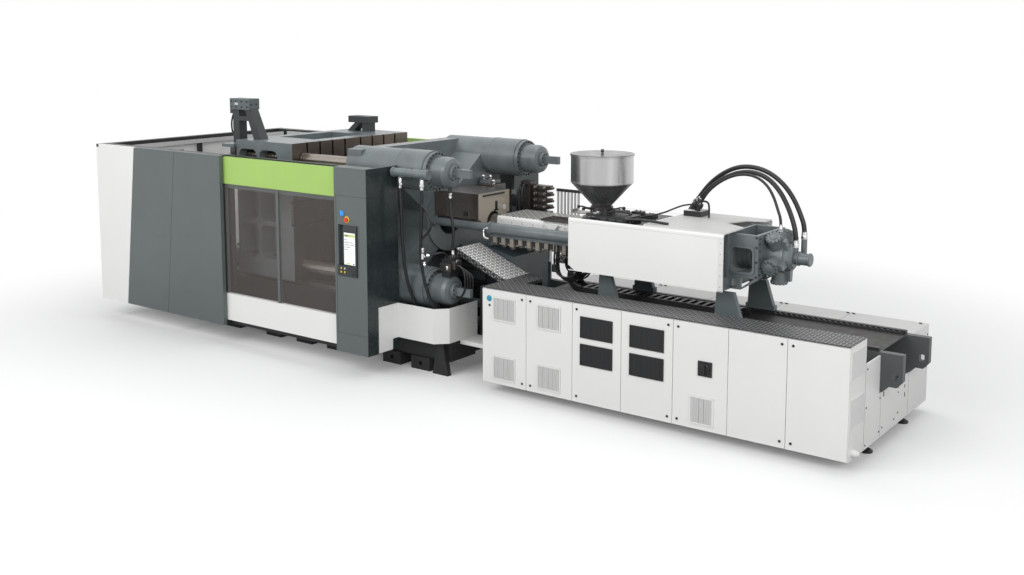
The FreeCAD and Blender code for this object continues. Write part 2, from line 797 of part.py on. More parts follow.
# ---- platens
def face_slots(face, thick_dir):
    """T-slot mouths that run in from the four edges of a mould face."""
    slots = []
    inner = face + thick_dir * SLOT_DEEP
    low, high = AXIS_Z - PLATEN_BELOW, AXIS_Z + PLATEN_ABOVE
    for side in SIDES:
        for step in SLOT_STEPS:
            y0, y1 = side * step - SLOT_WIDE / 2, side * step + SLOT_WIDE / 2
            slots.append(box(face, inner, y0, y1, high - SLOT_LONG, high))
            slots.append(box(face, inner, y0, y1, low, low + SLOT_LONG))
        for up in SIDES:
            z = AXIS_Z + up * SLOT_STEPS[0]
            slots.append(box(face, inner, side * PLATEN_HALF, side * SLOT_SIDE_END,
                             z - SLOT_WIDE / 2, z + SLOT_WIDE / 2))
    return slots


def mould_bolts(face, thick_dir):
    far = face + thick_dir * MOULD_BOLT_DEEP
    return [rod_x(min(face, far), max(face, far), sy * MOULD_BOLT_Y, AXIS_Z + sz * MOULD_BOLT_Z, MOULD_BOLT_R)
            for sy in SIDES for sz in SIDES]


def diagonal_ribs(x0, x1):
    """Two crossing ribs from corner to corner, which give the casting its X shape."""
    reach = math.hypot(BAR_Y, BAR_Z)
    ribs = []
    for up in SIDES:
        rib = box(x0, x1, -reach, reach, -RIB_WIDE / 2, RIB_WIDE / 2)
        rib.rotate(V(0, 0, 0), V(1, 0, 0), up * math.degrees(math.atan2(BAR_Z, BAR_Y)))
        rib.translate(V(0, 0, AXIS_Z))
        ribs.append(rib)
    return ribs


def stationary_platen():
    low, high = AXIS_Z - PLATEN_BELOW, AXIS_Z + PLATEN_ABOVE
    plate_back = FIXED_FACE + FACE_THICK
    parts = [box(FIXED_FACE, plate_back, -PLATEN_HALF, PLATEN_HALF, low, high)]
    parts += [rod_x(FIXED_FACE, FIXED_BACK, y, z, BOSS_R) for y, z in corners()]
    parts += diagonal_ribs(plate_back, FIXED_BACK - RIB_SHORT)
    parts.append(rod_x(plate_back, HUB_BACK, 0, AXIS_Z, HUB_R))
    for side in SIDES:
        parts.append(side_box(side, FIXED_FACE, FIXED_BACK - 20, FOOT_IN, BED_OUT, BED_TOP,
                              AXIS_Z - PLATEN_BELOW + 50))
    body = fuse(parts)
    cone = spin_x([(FIXED_FACE + LOCATING_DEEP, 0), (FIXED_FACE + LOCATING_DEEP, LOCATING_R - 15),
                   (plate_back, LOCATING_R + 40), (HUB_BACK, CONE_R), (HUB_BACK, 0)], 0, AXIS_Z)
    mouth = rod_x(FIXED_FACE, FIXED_FACE + LOCATING_DEEP, 0, AXIS_Z, LOCATING_R)
    bars = [rod_x(FIXED_FACE, FIXED_BACK, y, z, BAR_R) for y, z in corners()]
    return [cut(body, [cone, mouth] + bars + face_slots(FIXED_FACE, 1) + mould_bolts(FIXED_FACE, 1))]


def clamp_cylinders():
    barrels = []
    for y, z in corners():
        barrel = rod_x(FIXED_BACK, BARREL_END, y, z, BARREL_R)
        barrels.append(barrel.cut(rod_x(FIXED_BACK, FIXED_BACK + BAR_IN_BARREL, y, z, BAR_R)))
    return barrels


def cylinder_caps():
    caps = []
    front = BARREL_END + FLANGE_THICK
    for y, z in corners():
        dome_end = front + DOME_LONG
        step = DOME_EDGE * (1 - math.cos(math.pi / 4))
        profile = [(BARREL_END, 0), (BARREL_END, FLANGE_R), (front, FLANGE_R), (front, DOME_R),
                   (dome_end - DOME_EDGE, DOME_R), (dome_end - step, DOME_R - step),
                   (dome_end, DOME_R - DOME_EDGE), (dome_end, CAP_BOSS_R),
                   (dome_end + CAP_BOSS_LONG, CAP_BOSS_R), (dome_end + CAP_BOSS_LONG, 0)]
        tab_left = dome_end + CAP_BOSS_LONG
        tab = box(tab_left - 10, tab_left + TAB_LONG, y - TAB_WIDE / 2, y + TAB_WIDE / 2,
                  z - TAB_TALL / 2, z + TAB_TALL / 2)
        caps.append(fuse([spin_x(profile, y, z), tab]))
        for i in range(BOLT_COUNT):
            turn = 2 * math.pi * (i + 0.5) / BOLT_COUNT
            by, bz = y + BOLT_CIRCLE_R * math.cos(turn), z + BOLT_CIRCLE_R * math.sin(turn)
            hexagon = [(by + BOLT_R * math.cos(math.pi * k / 3), bz + BOLT_R * math.sin(math.pi * k / 3))
                       for k in range(6)]
            caps.append(prism_yz(hexagon, front, front + BOLT_TALL))
    return caps


def groove_starts():
    """Where the grooves begin: under the split nuts and on towards the mould."""
    teeth = (TOOTH_COUNT - 1) * GROOVE_PITCH + GROOVE_WIDE
    first = LOCK_LEFT + (LOCK_THICK - teeth) / 2 - GROOVE_PITCH
    return [first + i * GROOVE_PITCH for i in range(GROOVE_COUNT)]


def tie_bars():
    profile = [(BAR_LEFT, 0), (BAR_LEFT, BAR_R - 12), (BAR_LEFT + 12, BAR_R)]
    for x in groove_starts():
        profile += [(x, BAR_R), (x, BAR_R - GROOVE_DEEP), (x + GROOVE_WIDE, BAR_R - GROOVE_DEEP),
                    (x + GROOVE_WIDE, BAR_R)]
    profile += [(FIXED_BACK + BAR_IN_BARREL, BAR_R), (FIXED_BACK + BAR_IN_BARREL, 0)]
    return [spin_x(profile, y, z) for y, z in corners()]


def side_pockets():
    """Rounded pockets in the two flanks of the moving platen, in columns of three."""
    low = AXIS_Z - PLATEN_BELOW
    pitch = (PLATEN_BELOW + PLATEN_ABOVE - POCKET_FOOT - POCKET_EDGE) / 3
    wide = (MOVING_DEEP - FACE_THICK - 3 * POCKET_EDGE) / 2
    pockets = []
    for side in SIDES:
        for column in range(2):
            x0 = MOVING_BACK + POCKET_EDGE + column * (wide + POCKET_EDGE)
            for row in range(3):
                z0 = low + POCKET_FOOT + row * pitch
                inner = side * (PLATEN_HALF - POCKET_DEEP)
                pockets.append(rounded_box(x0, x0 + wide, inner, side * PLATEN_HALF, z0, z0 + pitch - POCKET_RIB,
                                           POCKET_R, V(0, 1, 0)))
    return pockets


def lock_guides(side):
    """Bars above and below each split nut, which it slides between."""
    guides = []
    for up in SIDES:
        z = AXIS_Z + up * BAR_Z
        for edge in SIDES:
            near = z + edge * (LOCK_HALF + SLIP)
            far = near + edge * LOCK_GUIDE
            left = MOVING_BACK - TOWER_BEHIND if edge > 0 and up > 0 else LOCK_LEFT - GUIDE_OVER
            guides.append(side_box(side, left, MOVING_BACK, BAR_Y - GUIDE_HALF, BAR_Y + GUIDE_HALF,
                                   min(near, far), max(near, far)))
    return guides


def platen_casting():
    low, high = AXIS_Z - PLATEN_BELOW, AXIS_Z + PLATEN_ABOVE
    body = box(MOVING_BACK, MOVING_FACE, -PLATEN_HALF, PLATEN_HALF, low, high)
    room = EJECTOR_HALF + EJECTOR_ROOM
    room_end = MOVING_FACE - FACE_THICK - EJECTOR_TRAVEL_ROOM
    tools = [rod_x(MOVING_BACK - 1, MOVING_FACE + 1, y, z, BAR_R + BAR_CLEAR) for y, z in corners()]
    tools += side_pockets() + face_slots(MOVING_FACE, -1) + mould_bolts(MOVING_FACE, -1)
    tools.append(box(MOVING_BACK, room_end, -room, room, AXIS_Z - room, AXIS_Z + room))
    for sy in SIDES:
        tools += [rod_x(MOVING_BACK, MOVING_FACE, sy * EJECTOR_PIN_AT, AXIS_Z + sz * EJECTOR_PIN_AT,
                        EJECTOR_PIN_R + SLIP) for sz in SIDES]
        tools.append(side_box(sy, MOVING_BACK + TOP_ROOM_BACK, MOVING_FACE - FACE_THICK, 0, TOP_ROOM_HALF,
                              high - TOP_ROOM_DEEP, high))
    return cut(body, tools)


def moving_platen():
    low = AXIS_Z - PLATEN_BELOW
    slide_z = BED_TOP + GUIDE_TALL + SLIP
    parts = [platen_casting()]
    for side in SIDES:
        parts.append(side_box(side, MOVING_BACK, MOVING_FACE - SHOE_SHORT, GUIDE_IN - SHOE_OVER,
                              GUIDE_OUT + SHOE_OVER, slide_z, low))
        lug = side_box(side, LUG_X, LUG_X + LUG_LONG, DRIVE_Y - LUG_HALF, DRIVE_Y + LUG_HALF,
                       DRIVE_Z - LUG_HALF, low)
        parts.append(lug.cut(rod_x(LUG_X, LUG_X + LUG_LONG, side * DRIVE_Y, DRIVE_Z, DRIVE_ROD_R)))
        parts.append(rod_x(LUG_X, LUG_X + DRIVE_ROD_LONG, side * DRIVE_Y, DRIVE_Z, DRIVE_ROD_R))
        parts.append(rod_x(MOVING_BACK + EJECTOR_SHORT, MOVING_FACE - FACE_THICK - EJECTOR_TRAVEL_ROOM,
                           side * EJECTOR_ROD_Y, AXIS_Z, EJECTOR_ROD_R))
        parts += lock_guides(side)
    return parts


def from_back(span):
    return [MOVING_BACK + x for x in span]


def hose_towers():
    """The tall tower over the front bars and the low one over the rear bars."""
    high = AXIS_Z + PLATEN_ABOVE
    guide_top = AXIS_Z + BAR_Z + LOCK_HALF + SLIP + LOCK_GUIDE
    left = MOVING_BACK - TOWER_BEHIND
    y0, y1 = -TOWER_OUT, -TOWER_IN
    over = TOWER_HEAD_OVER
    foot, crest, head = from_back(TOWER_BRACE_FOOT), from_back(TOWER_BRACE_TOP), from_back(TOWER_HEAD)
    stub, tie = from_back(TOWER_STUB), from_back(TOWER_TIE)
    front = [box(left, left + TOWER_POST, y0, y1, guide_top, TOWER_HEAD_LOW),
             prism_xz([(crest[0], TOWER_HEAD_LOW + 20), (crest[1], TOWER_HEAD_LOW + 20), (foot[1], high),
                       (foot[0], high)], y0, y1),
             box(head[0], head[1], y0 - over, y1 + over, TOWER_HEAD_LOW, TOWER_TOP),
             box(stub[0], stub[1], y0 + over, y1 - over, TOWER_STUB_Z[0], TOWER_STUB_Z[1]),
             box(tie[0], tie[1], y0, y1, TOWER_TIE_Z[0], TOWER_TIE_Z[1])]
    foot, crest = from_back(LOW_TOWER_BRACE_FOOT), from_back(LOW_TOWER_BRACE_TOP)
    post, head = from_back(LOW_TOWER_POST), from_back(LOW_TOWER_HEAD)
    top = LOW_TOWER_HEAD_LOW
    rear = [prism_xz([(foot[0], high), (foot[1], high), (crest[1], top), (crest[0], top)],
                     LOW_TOWER_IN, TOWER_OUT),
            box(post[0], post[1], LOW_TOWER_IN, TOWER_OUT, high, top),
            box(head[0], head[1], LOW_TOWER_IN - over, TOWER_OUT + over, top, top + LOW_TOWER_HEAD_TALL)]
    return [fuse(front), fuse(rear)]


def lock_halves(side):
    """The half of each split nut on one side of its bar, standing open."""
    halves = []
    for y, z in corners():
        seat = y + side * LOCK_OPEN
        block = box(LOCK_LEFT, LOCK_LEFT + LOCK_THICK, seat + side * 1, seat + side * LOCK_REACH,
                    z - LOCK_HALF, z + LOCK_HALF)
        tools = [rod_x(LOCK_LEFT, LOCK_LEFT + LOCK_THICK, seat, z, BAR_R - GROOVE_DEEP + 2 * LOCK_CLEAR)]
        walls = [LOCK_LEFT]
        for x in groove_starts()[1:1 + TOOTH_COUNT]:
            tooth = x + (GROOVE_WIDE - TOOTH_WIDE) / 2
            tools.append(rod_x(walls[-1], tooth, seat, z, BAR_R + LOCK_CLEAR))
            walls.append(tooth + TOOTH_WIDE)
        tools.append(rod_x(walls[-1], LOCK_LEFT + LOCK_THICK, seat, z, BAR_R + LOCK_CLEAR))
        halves.append(cut(block, tools))
    return halves


def ejector():
    plate = box(EJECTOR_LEFT, EJECTOR_LEFT + EJECTOR_THICK, -EJECTOR_HALF, EJECTOR_HALF,
                AXIS_Z - EJECTOR_HALF, AXIS_Z + EJECTOR_HALF)
    pins = [rod_x(EJECTOR_LEFT + EJECTOR_THICK, MOVING_FACE - EJECTOR_SHORT, sy * EJECTOR_PIN_AT,
                  AXIS_Z + sz * EJECTOR_PIN_AT, EJECTOR_PIN_R) for sy in SIDES for sz in SIDES]
    holes = [rod_x(EJECTOR_LEFT, EJECTOR_LEFT + EJECTOR_THICK, side * EJECTOR_ROD_Y, AXIS_Z,
                   EJECTOR_ROD_R + SLIP) for side in SIDES]
    return [cut(fuse([plate] + pins), holes)]


# ---- hydraulics on the clamp unit
def drive_tube(side):
    tube = rod_x(DRIVE_LEFT, DRIVE_RIGHT, side * DRIVE_Y, DRIVE_Z, DRIVE_TUBE_R)
    bore_end = DRIVE_RIGHT - DRIVE_CLOSED_END
    return tube.cut(rod_x(DRIVE_LEFT, bore_end, side * DRIVE_Y, DRIVE_Z, DRIVE_ROD_R + SLIP))


def accumulator():
    """The slim cylinder beside the upper front clamp cylinder, with its clamps and hose stubs."""
    y, z = -ACCUMULATOR_Y, AXIS_Z + BAR_Z + ACCUMULATOR_RISE
    r, thin = ACCUMULATOR_R, ACCUMULATOR_R - 8
    x0, x1 = ACCUMULATOR_X
    parts = [spin_x([(x0, 0), (x0, r - 14), (x0 + 20, r), (x0 + 58, r), (x0 + 58, thin), (x1 - 52, thin),
                     (x1 - 52, r), (x1, r), (x1, 0)], y, z)]
    clear = rod_x(FIXED_BACK, BARREL_END, -BAR_Y, AXIS_Z + BAR_Z, BARREL_R + SLIP)
    for x in ACCUMULATOR_CLAMP_X:
        clamp = box(x, x + 44, y + 30, -BAR_Y - BARREL_R + 20, z - 42, z + 42)
        parts.append(clamp.cut(clear))
    for (x, hose_y, top), r in zip([points[0] for points in PLATEN_HOSES[:2]], PLATEN_HOSE_R):
        parts.append(rod_z(x, hose_y, top, z - 40, r + 5))
    return fuse(parts)


def pull_rod(side):
    z = AXIS_Z + side * PULL_DROP
    rod = rod_x(HUB_BACK, COVER_LEFT - PULL_ROD_SHORT, side * PULL_Y, z, PULL_ROD_R)
    collar = rod_x(HUB_BACK, HUB_BACK + PULL_COLLAR_LONG, side * PULL_Y, z, PULL_COLLAR_R)
    return fuse([rod, collar])


def hydraulic_cylinders():
    tubes = [drive_tube(side) for side in SIDES] + [accumulator()]
    return tubes + [pull_rod(side) for side in SIDES]


def valve_block():
    """The block on the lower front cap that the shortest platen hose ends in."""
    cap_top = AXIS_Z - BAR_Z + DOME_R
    x, y, z = PLATEN_HOSES[2][-1]
    block = box(VALVE_X[0], VALVE_X[1], -VALVE_Y[1], -VALVE_Y[0], cap_top - 30, VALVE_TOP)
    x0, x1 = VALVE_HEAD_X
    head = box(x0, x1, -VALVE_Y[1] + 10, -VALVE_Y[0] - 10, VALVE_HEAD_Z[0], VALVE_HEAD_Z[1])
    fitting = rod_z(x, y, VALVE_HEAD_Z[1], z, FITTING_R + 2)
    return fuse([block, head, fitting]).cut(rod_x(BARREL_END, x1, -BAR_Y, AXIS_Z - BAR_Z, DOME_R + SLIP))


def upper_fitting():
    x, y, z = PLATEN_HOSES[2][0]
    stub = rod_z(x, y, z, AXIS_Z + BAR_Z - DOME_R + 40, FITTING_R)
    return stub.cut(rod_x(BARREL_END, VALVE_HEAD_X[1], -BAR_Y, AXIS_Z + BAR_Z, DOME_R + SLIP))


def valve_stack():
    parts = [box(STACK_X[0], STACK_X[1], STACK_Y[0], STACK_Y[1], PLATFORM_TOP, STACK_TOP)]
    for level in range(STACK_COUNT):
        z = PLATFORM_TOP + STACK_FOOT + level * STACK_PITCH
        parts.append(box(STACK_VALVE_X[0], STACK_VALVE_X[1], STACK_VALVE_Y[0], STACK_VALVE_Y[1],
                         z, z + STACK_VALVE_TALL))
    parts.append(box(STACK_SPINE_X[0], STACK_SPINE_X[1], STACK_SPINE_Y[0], STACK_SPINE_Y[1], PLATFORM_TOP,
                     PLATFORM_TOP + STACK_FOOT + STACK_COUNT * STACK_PITCH - 30))
    return fuse(parts)


def purge_chute():
    """A sheet housing on the base beams below the barrel, open below, with a sloping top."""
    (x0, x1), (y0, y1), t = CHUTE_X, CHUTE_Y, CHUTE_SHEET
    outline = [(x0, BEAM_TOP), (x1, BEAM_TOP), (x1 - CHUTE_SIDE, CHUTE_TOP - CHUTE_SLOPE), (x0, CHUTE_TOP)]
    room = [(x0 + t, BEAM_TOP), (x1 - t, BEAM_TOP), (x1 - CHUTE_SIDE - t, CHUTE_TOP - CHUTE_SLOPE - t),
            (x0 + t, CHUTE_TOP - t)]
    return prism_xz(outline, y0, y1).cut(prism_xz(room, y0 + t, y1 - t))


def hydraulic_blocks():
    hose_block = box(HOSE_BLOCK_X[0], HOSE_BLOCK_X[1], -HOSE_BLOCK_Y, -BED_OUT, HOSE_BLOCK_Z[0], HOSE_BLOCK_Z[1])
    return [valve_block(), upper_fitting(), hose_block, valve_stack(), purge_chute()]


# ---- guards
def guard_post(side, x):
    return side_box(side, x - POST_WIDE / 2, x + POST_WIDE / 2, TRACK_IN - POST_WIDE, TRACK_IN, GUARD_LOW, GUARD_TOP)


def guard_side(side):
    """Track, sill, flanges, posts and the arms that carry them from the bed."""
    out, post_in = TRACK_IN + TRACK_WIDE, TRACK_IN - POST_WIDE
    sill_top = GUARD_LOW + SILL_TALL
    sheet_in = Y_SIDE - SHEET_BOX
    parts = [side_box(side, WALL_X, COLUMN_LEFT, TRACK_IN, out, GUARD_TOP - TRACK_TALL, GUARD_TOP),
             side_box(side, WALL_X, GUARD_RIGHT, out, sheet_in, GUARD_TOP - FLANGE_TOP, GUARD_TOP),
             side_box(side, WALL_X, COLUMN_LEFT, TRACK_IN, out, GUARD_LOW, sill_top),
             side_box(side, WALL_X, GUARD_RIGHT, out, sheet_in, GUARD_LOW, GUARD_LOW + FLANGE_LOW),
             side_box(side, BED_LEFT, BED_LEFT + ARM_WIDE, BED_OUT, TRACK_IN, GUARD_LOW, sill_top),
             side_box(side, COLUMN_LEFT + COLUMN_ARM[0], COLUMN_LEFT + COLUMN_ARM[1], BED_OUT, COLUMN_BACK,
                      GUARD_LOW, sill_top)]
    for x in POST_AT:
        parts.append(guard_post(side, x))
    for x in POST_AT[1:]:
        parts.append(side_box(side, x - ARM_WIDE / 2, x + ARM_WIDE / 2, BED_OUT, post_in, GUARD_LOW, sill_top))
    return parts


def guard_end():
    """The members behind the end wall and the rail on top of it."""
    wide, reach = SILL_TALL, TRACK_IN - POST_WIDE
    return [box(WALL_X, WALL_X + wide, -reach, reach, GUARD_TOP - TRACK_TALL, GUARD_TOP),
            box(WALL_X, WALL_X + wide, -reach, reach, GUARD_LOW, GUARD_LOW + SILL_TALL),
            box(WALL_X, WALL_X + wide, -POST_WIDE / 2, POST_WIDE / 2, GUARD_LOW + SILL_TALL, GUARD_TOP - TRACK_TALL),
            box(-X_END, WALL_X, -Y_SIDE, Y_SIDE, GUARD_TOP - RAIL_TALL, GUARD_TOP)]


def railing():
    x0, x1 = RAILING_X
    y0, y1 = RAILING_Y
    bars = [box(x0, x1, y0, y1, RAILING_TOP - RAILING_BAR, RAILING_TOP),
            box(x0, x1, y0, y1, PLATFORM_TOP, PLATFORM_TOP + RAILING_BAR)]
    x = x0 + 10
    while x + RAILING_POST < x1:
        bars.append(box(x, x + RAILING_POST, y0 + 2, y1 - 2, PLATFORM_TOP + RAILING_BAR, RAILING_TOP - RAILING_BAR))
        x += RAILING_PITCH
    return fuse(bars)


def guard_frame():
    return guard_side(-1) + guard_side(1) + guard_end() + [railing()]


def guard_panels():
    left = box(-X_END, WALL_X, -Y_SIDE, Y_SIDE, GUARD_LOW, GUARD_TOP - RAIL_TALL)
    front = prism_xz([(WALL_X, GUARD_LOW), (BORDER_LOW - SEAM_GAP, GUARD_LOW), (BORDER_TOP - SEAM_GAP, GUARD_TOP),
                      (WALL_X, GUARD_TOP)], -Y_SIDE, -Y_SIDE + SHEET_BOX)
    panels = [left, front]
    wide = (GUARD_RIGHT - WALL_X) / REAR_PANEL_COUNT
    for i in range(REAR_PANEL_COUNT):
        x = WALL_X + i * wide
        panels.append(box(x, x + wide - SEAM_GAP, Y_SIDE - SHEET_BOX, Y_SIDE, GUARD_LOW, GUARD_TOP))
    return panels


def grey_panels():
    first = prism_xz([(BORDER_LOW, GUARD_LOW), (SEAM_LOW - SEAM_GAP, GUARD_LOW), (SEAM_TOP - SEAM_GAP, GUARD_TOP),
                      (BORDER_TOP, GUARD_TOP)], -Y_SIDE, -Y_SIDE + SHEET_BOX)
    second = prism_xz([(SEAM_LOW, GUARD_LOW), (GUARD_RIGHT, GUARD_LOW), (GUARD_RIGHT, GUARD_TOP),
                       (SEAM_TOP, GUARD_TOP)], -Y_SIDE, -Y_SIDE + SHEET_BOX)
    return [first, second]


def column_seams():
    """Shut lines on the front and the side of the control column."""
    front, right = -COLUMN_FRONT, COLUMN_RIGHT
    left = COLUMN_LEFT + COLUMN_SEAM_LEFT
    back = -COLUMN_BACK - COLUMN_SEAM_BACK
    low, high = COLUMN_SEAM_Z
    lines = []
    for z in COLUMN_SEAM_Z:
        lines.append(box(left, right, front, front + SEAM_DEEP, z, z + SEAM_WIDE))
        lines.append(box(right - SEAM_DEEP, right, front, back, z, z + SEAM_WIDE))
    lines.append(box(left - SEAM_WIDE, left, front, front + SEAM_DEEP, low, high + SEAM_WIDE))
    lines.append(box(right - SEAM_DEEP, right, back, back + SEAM_WIDE, low, high + SEAM_WIDE))
    return lines


def control_column():
    body = box(COLUMN_LEFT, COLUMN_RIGHT, -COLUMN_FRONT, -COLUMN_BACK, GUARD_LOW, GUARD_TOP)
    room = box(PANEL_LEFT, PANEL_RIGHT, -COLUMN_FRONT, -COLUMN_FRONT + PANEL_DEEP, PANEL_LOW, PANEL_TOP)
    hole_end = -COLUMN_FRONT + BUTTON_SEAT + BUTTON_TRAVEL_ROOM
    half = START_HALF + SLIP
    holes = [rod_y(STOP_X, -COLUMN_FRONT, hole_end, STOP_Z, STOP_STEM_R + SLIP),
             box(START_X - half, START_X + half, -COLUMN_FRONT, hole_end, START_Z - half, START_Z + half)]
    side_panel = box(COLUMN_RIGHT - SIDE_PANEL_THICK, COLUMN_RIGHT, -COLUMN_BACK, -SIDE_PANEL_IN,
                     GUARD_LOW, GUARD_TOP)
    rear_post = box(COLUMN_LEFT, COLUMN_RIGHT, COLUMN_BACK, Y_SIDE, GUARD_LOW, GUARD_TOP)
    rear_side = box(COLUMN_RIGHT - SIDE_PANEL_THICK, COLUMN_RIGHT, SIDE_PANEL_IN, COLUMN_BACK,
                    GUARD_LOW, GUARD_TOP)
    return [cut(body, [room] + holes + column_seams()), side_panel, rear_post, rear_side]


def operator_panel():
    floor_y = -COLUMN_FRONT + PANEL_DEEP
    front = -COLUMN_FRONT - PANEL_PROUD
    unit = prism_xy([(UNIT_LEFT, floor_y), (PANEL_RIGHT, floor_y), (PANEL_RIGHT, front - UNIT_PROUD),
                     (UNIT_LEFT, front - UNIT_PROUD + UNIT_TAPER)], KEYBOARD_TOP, PANEL_TOP)
    board = box(PANEL_LEFT, PANEL_RIGHT, front, floor_y, PANEL_LOW, KEYBOARD_TOP)
    screen_right = PANEL_RIGHT - SCREEN_SIDE
    screen_front = front - SCREEN_PROUD
    screen = box(screen_right - SCREEN_WIDE, screen_right, screen_front, screen_front + SCREEN_DEEP,
                 SCREEN_LOW, SCREEN_TOP)
    holes = [rod_y(x, front, front + KEY_DEEP, z, KEY_R + SLIP) for x in KEY_X for z in KEY_Z]
    return [cut(fuse([unit, board, screen]), holes)]


def stop_button():
    head = rod_y(STOP_X, -Y_SIDE, -Y_SIDE + STOP_HEAD, STOP_Z, STOP_R)
    stem = rod_y(STOP_X, -Y_SIDE + STOP_HEAD, -COLUMN_FRONT + BUTTON_SEAT, STOP_Z, STOP_STEM_R)
    return [fuse([head, stem])]


def start_button():
    return [box(START_X - START_HALF, START_X + START_HALF, -COLUMN_FRONT - START_PROUD,
                -COLUMN_FRONT + BUTTON_SEAT, START_Z - START_HALF, START_Z + START_HALF)]


def panel_key(x, z):
    front = -COLUMN_FRONT - PANEL_PROUD
    return [rod_y(x, front - KEY_PROUD, front + KEY_SEAT, z, KEY_R)]


# ---- sliding gates
def gate_hanger(side, x):
    """An arm that reaches from the frame to the track above."""
    low = side_box(side, x, x + HANGER_WIDE, TRACK_IN + HANGER_IN, GATE_IN, GATE_HEAD - HANGER_LAP, GATE_HEAD)
    high = side_box(side, x, x + HANGER_WIDE, TRACK_IN + HANGER_IN, GATE_IN - HANGER_BACK, GATE_HEAD,
                    GUARD_TOP - TRACK_TALL - SLIP)
    return fuse([low, high])


def gate_frame(side):
    parts = [side_box(side, GATE_LEFT, GATE_RIGHT, GATE_IN, GATE_OUT, GATE_LOW, GATE_SILL)]
    for x0, x1 in ((GATE_LEFT, GATE_LEFT + STILE_LEFT), (GATE_RIGHT - STILE_RIGHT, GATE_RIGHT),
                   (MULLION_X - MULLION_WIDE / 2, MULLION_X + MULLION_WIDE / 2)):
        parts.append(side_box(side, x0, x1, GATE_IN, PANE_BACK, GATE_SILL, GATE_HEAD))
    parts.append(side_box(side, GATE_LEFT + STILE_LEFT, MULLION_X - MULLION_WIDE / 2, GATE_IN, PANE_BACK,
                          GATE_HEAD - HANGER_LAP, GATE_HEAD))
    parts.append(side_box(side, MULLION_X + MULLION_WIDE / 2, GATE_RIGHT - STILE_RIGHT, GATE_IN, PANE_BACK,
                          GATE_HEAD - HANGER_LAP, GATE_HEAD))
    for x in (GATE_LEFT + HANGER_AT[0], GATE_RIGHT - HANGER_AT[1]):
        parts.append(gate_hanger(side, x))
    return parts


def gate_window(side):
    return [side_box(side, GATE_LEFT + PANE_EDGE, GATE_RIGHT - SEAM_GAP, PANE_BACK, PANE_BACK + PANE_THICK,
                     GATE_SILL, GATE_HEAD)]


def gate_band(side):
    return [side_box(side, GATE_LEFT, GATE_RIGHT, GATE_IN, GATE_OUT, GATE_HEAD, GATE_TOP)]


# ---- sheet covers and tread plates
def skirt(side):
    """The white cover that wraps the foot of the fixed platen."""
    t = SKIRT_THICK
    outline = [(COLUMN_RIGHT, COLUMN_BACK), (COLUMN_RIGHT + t, COLUMN_BACK), (COLUMN_RIGHT + t, SKIRT_FRONT),
               (SKIRT_RIGHT - SKIRT_BEVEL, SKIRT_FRONT), (SKIRT_RIGHT, SKIRT_FRONT - SKIRT_BEVEL),
               (SKIRT_RIGHT, SKIRT_END)]
    inner = [(SKIRT_RIGHT - t, SKIRT_END), (SKIRT_RIGHT - t, SKIRT_FRONT - SKIRT_BEVEL - 5),
             (SKIRT_RIGHT - SKIRT_BEVEL - 5, SKIRT_FRONT - t), (COLUMN_RIGHT, SKIRT_FRONT - t)]
    wall = prism_xy([(x, side * y) for x, y in outline + inner], SKIRT_LOW, SKIRT_TOP)
    face = side_box(side, COLUMN_RIGHT, COLUMN_RIGHT + t, SKIRT_FRONT + SKIRT_FACE_IN, COLUMN_BACK,
                    SKIRT_FACE_LOW, SKIRT_LOW)
    hanger = side_box(side, COLUMN_RIGHT + SKIRT_HANGER[0], COLUMN_RIGHT + SKIRT_HANGER[1], BED_OUT,
                      SKIRT_FRONT - t, SKIRT_LOW, SKIRT_LOW + SKIRT_HANGER_TALL)
    return fuse([wall, face, hanger])


def rear_platform():
    low = PLATFORM_TOP - TREAD - PLATFORM_TALL
    leg_out = PLATFORM_OUT - PLATFORM_LEG_IN
    frame = box(PLATFORM_LEFT, PLATFORM_RIGHT, PLATFORM_IN, PLATFORM_OUT, low, PLATFORM_TOP - TREAD)
    legs = [box(x, x + PLATFORM_LEG, leg_out - PLATFORM_LEG, leg_out, 0, low) for x in PLATFORM_LEG_X]
    tie = box(PLATFORM_LEG_X[1] + PLATFORM_LEG, BASE_LEFT, leg_out - PLATFORM_LEG, leg_out,
              PLATFORM_TIE_Z[0], PLATFORM_TIE_Z[1])
    return [frame, tie] + legs


def service_panels():
    step = box(SKIRT_RIGHT - SKIRT_THICK, BASE_LEFT, -CABINET_BACK - STEP_GAP, -SKIRT_END,
               SKIRT_LOW - STEP_TALL, SKIRT_LOW)
    return [skirt(-1), skirt(1), step] + rear_platform()


def ramp():
    """The sloping plate with turned down edges that leads up to the barrel."""
    foot_x = BASE_LEFT - RAMP_FOOT
    low_top, low_foot = RAMP_TOP - TREAD, CABINET_TOP - TREAD
    plate = prism_xz([(RAMP_X, RAMP_TOP), (foot_x, CABINET_TOP), (BASE_LEFT, CABINET_TOP), (BASE_LEFT, low_foot),
                      (foot_x, low_foot), (RAMP_X, low_top)], -RAMP_OUT, -RAMP_IN)
    lip = [(RAMP_X, low_top), (foot_x, low_foot), (foot_x, low_foot - RAMP_LIP), (RAMP_X, low_top - RAMP_LIP)]
    flanges = [prism_xz(lip, y, y + RAMP_SHEET) for y in (-RAMP_OUT, -RAMP_IN - RAMP_SHEET)]
    face = box(RAMP_X, RAMP_X + TREAD, -RAMP_OUT, -RAMP_IN, RAMP_TOP - RAMP_FACE, low_top)
    return fuse([plate, face] + flanges)


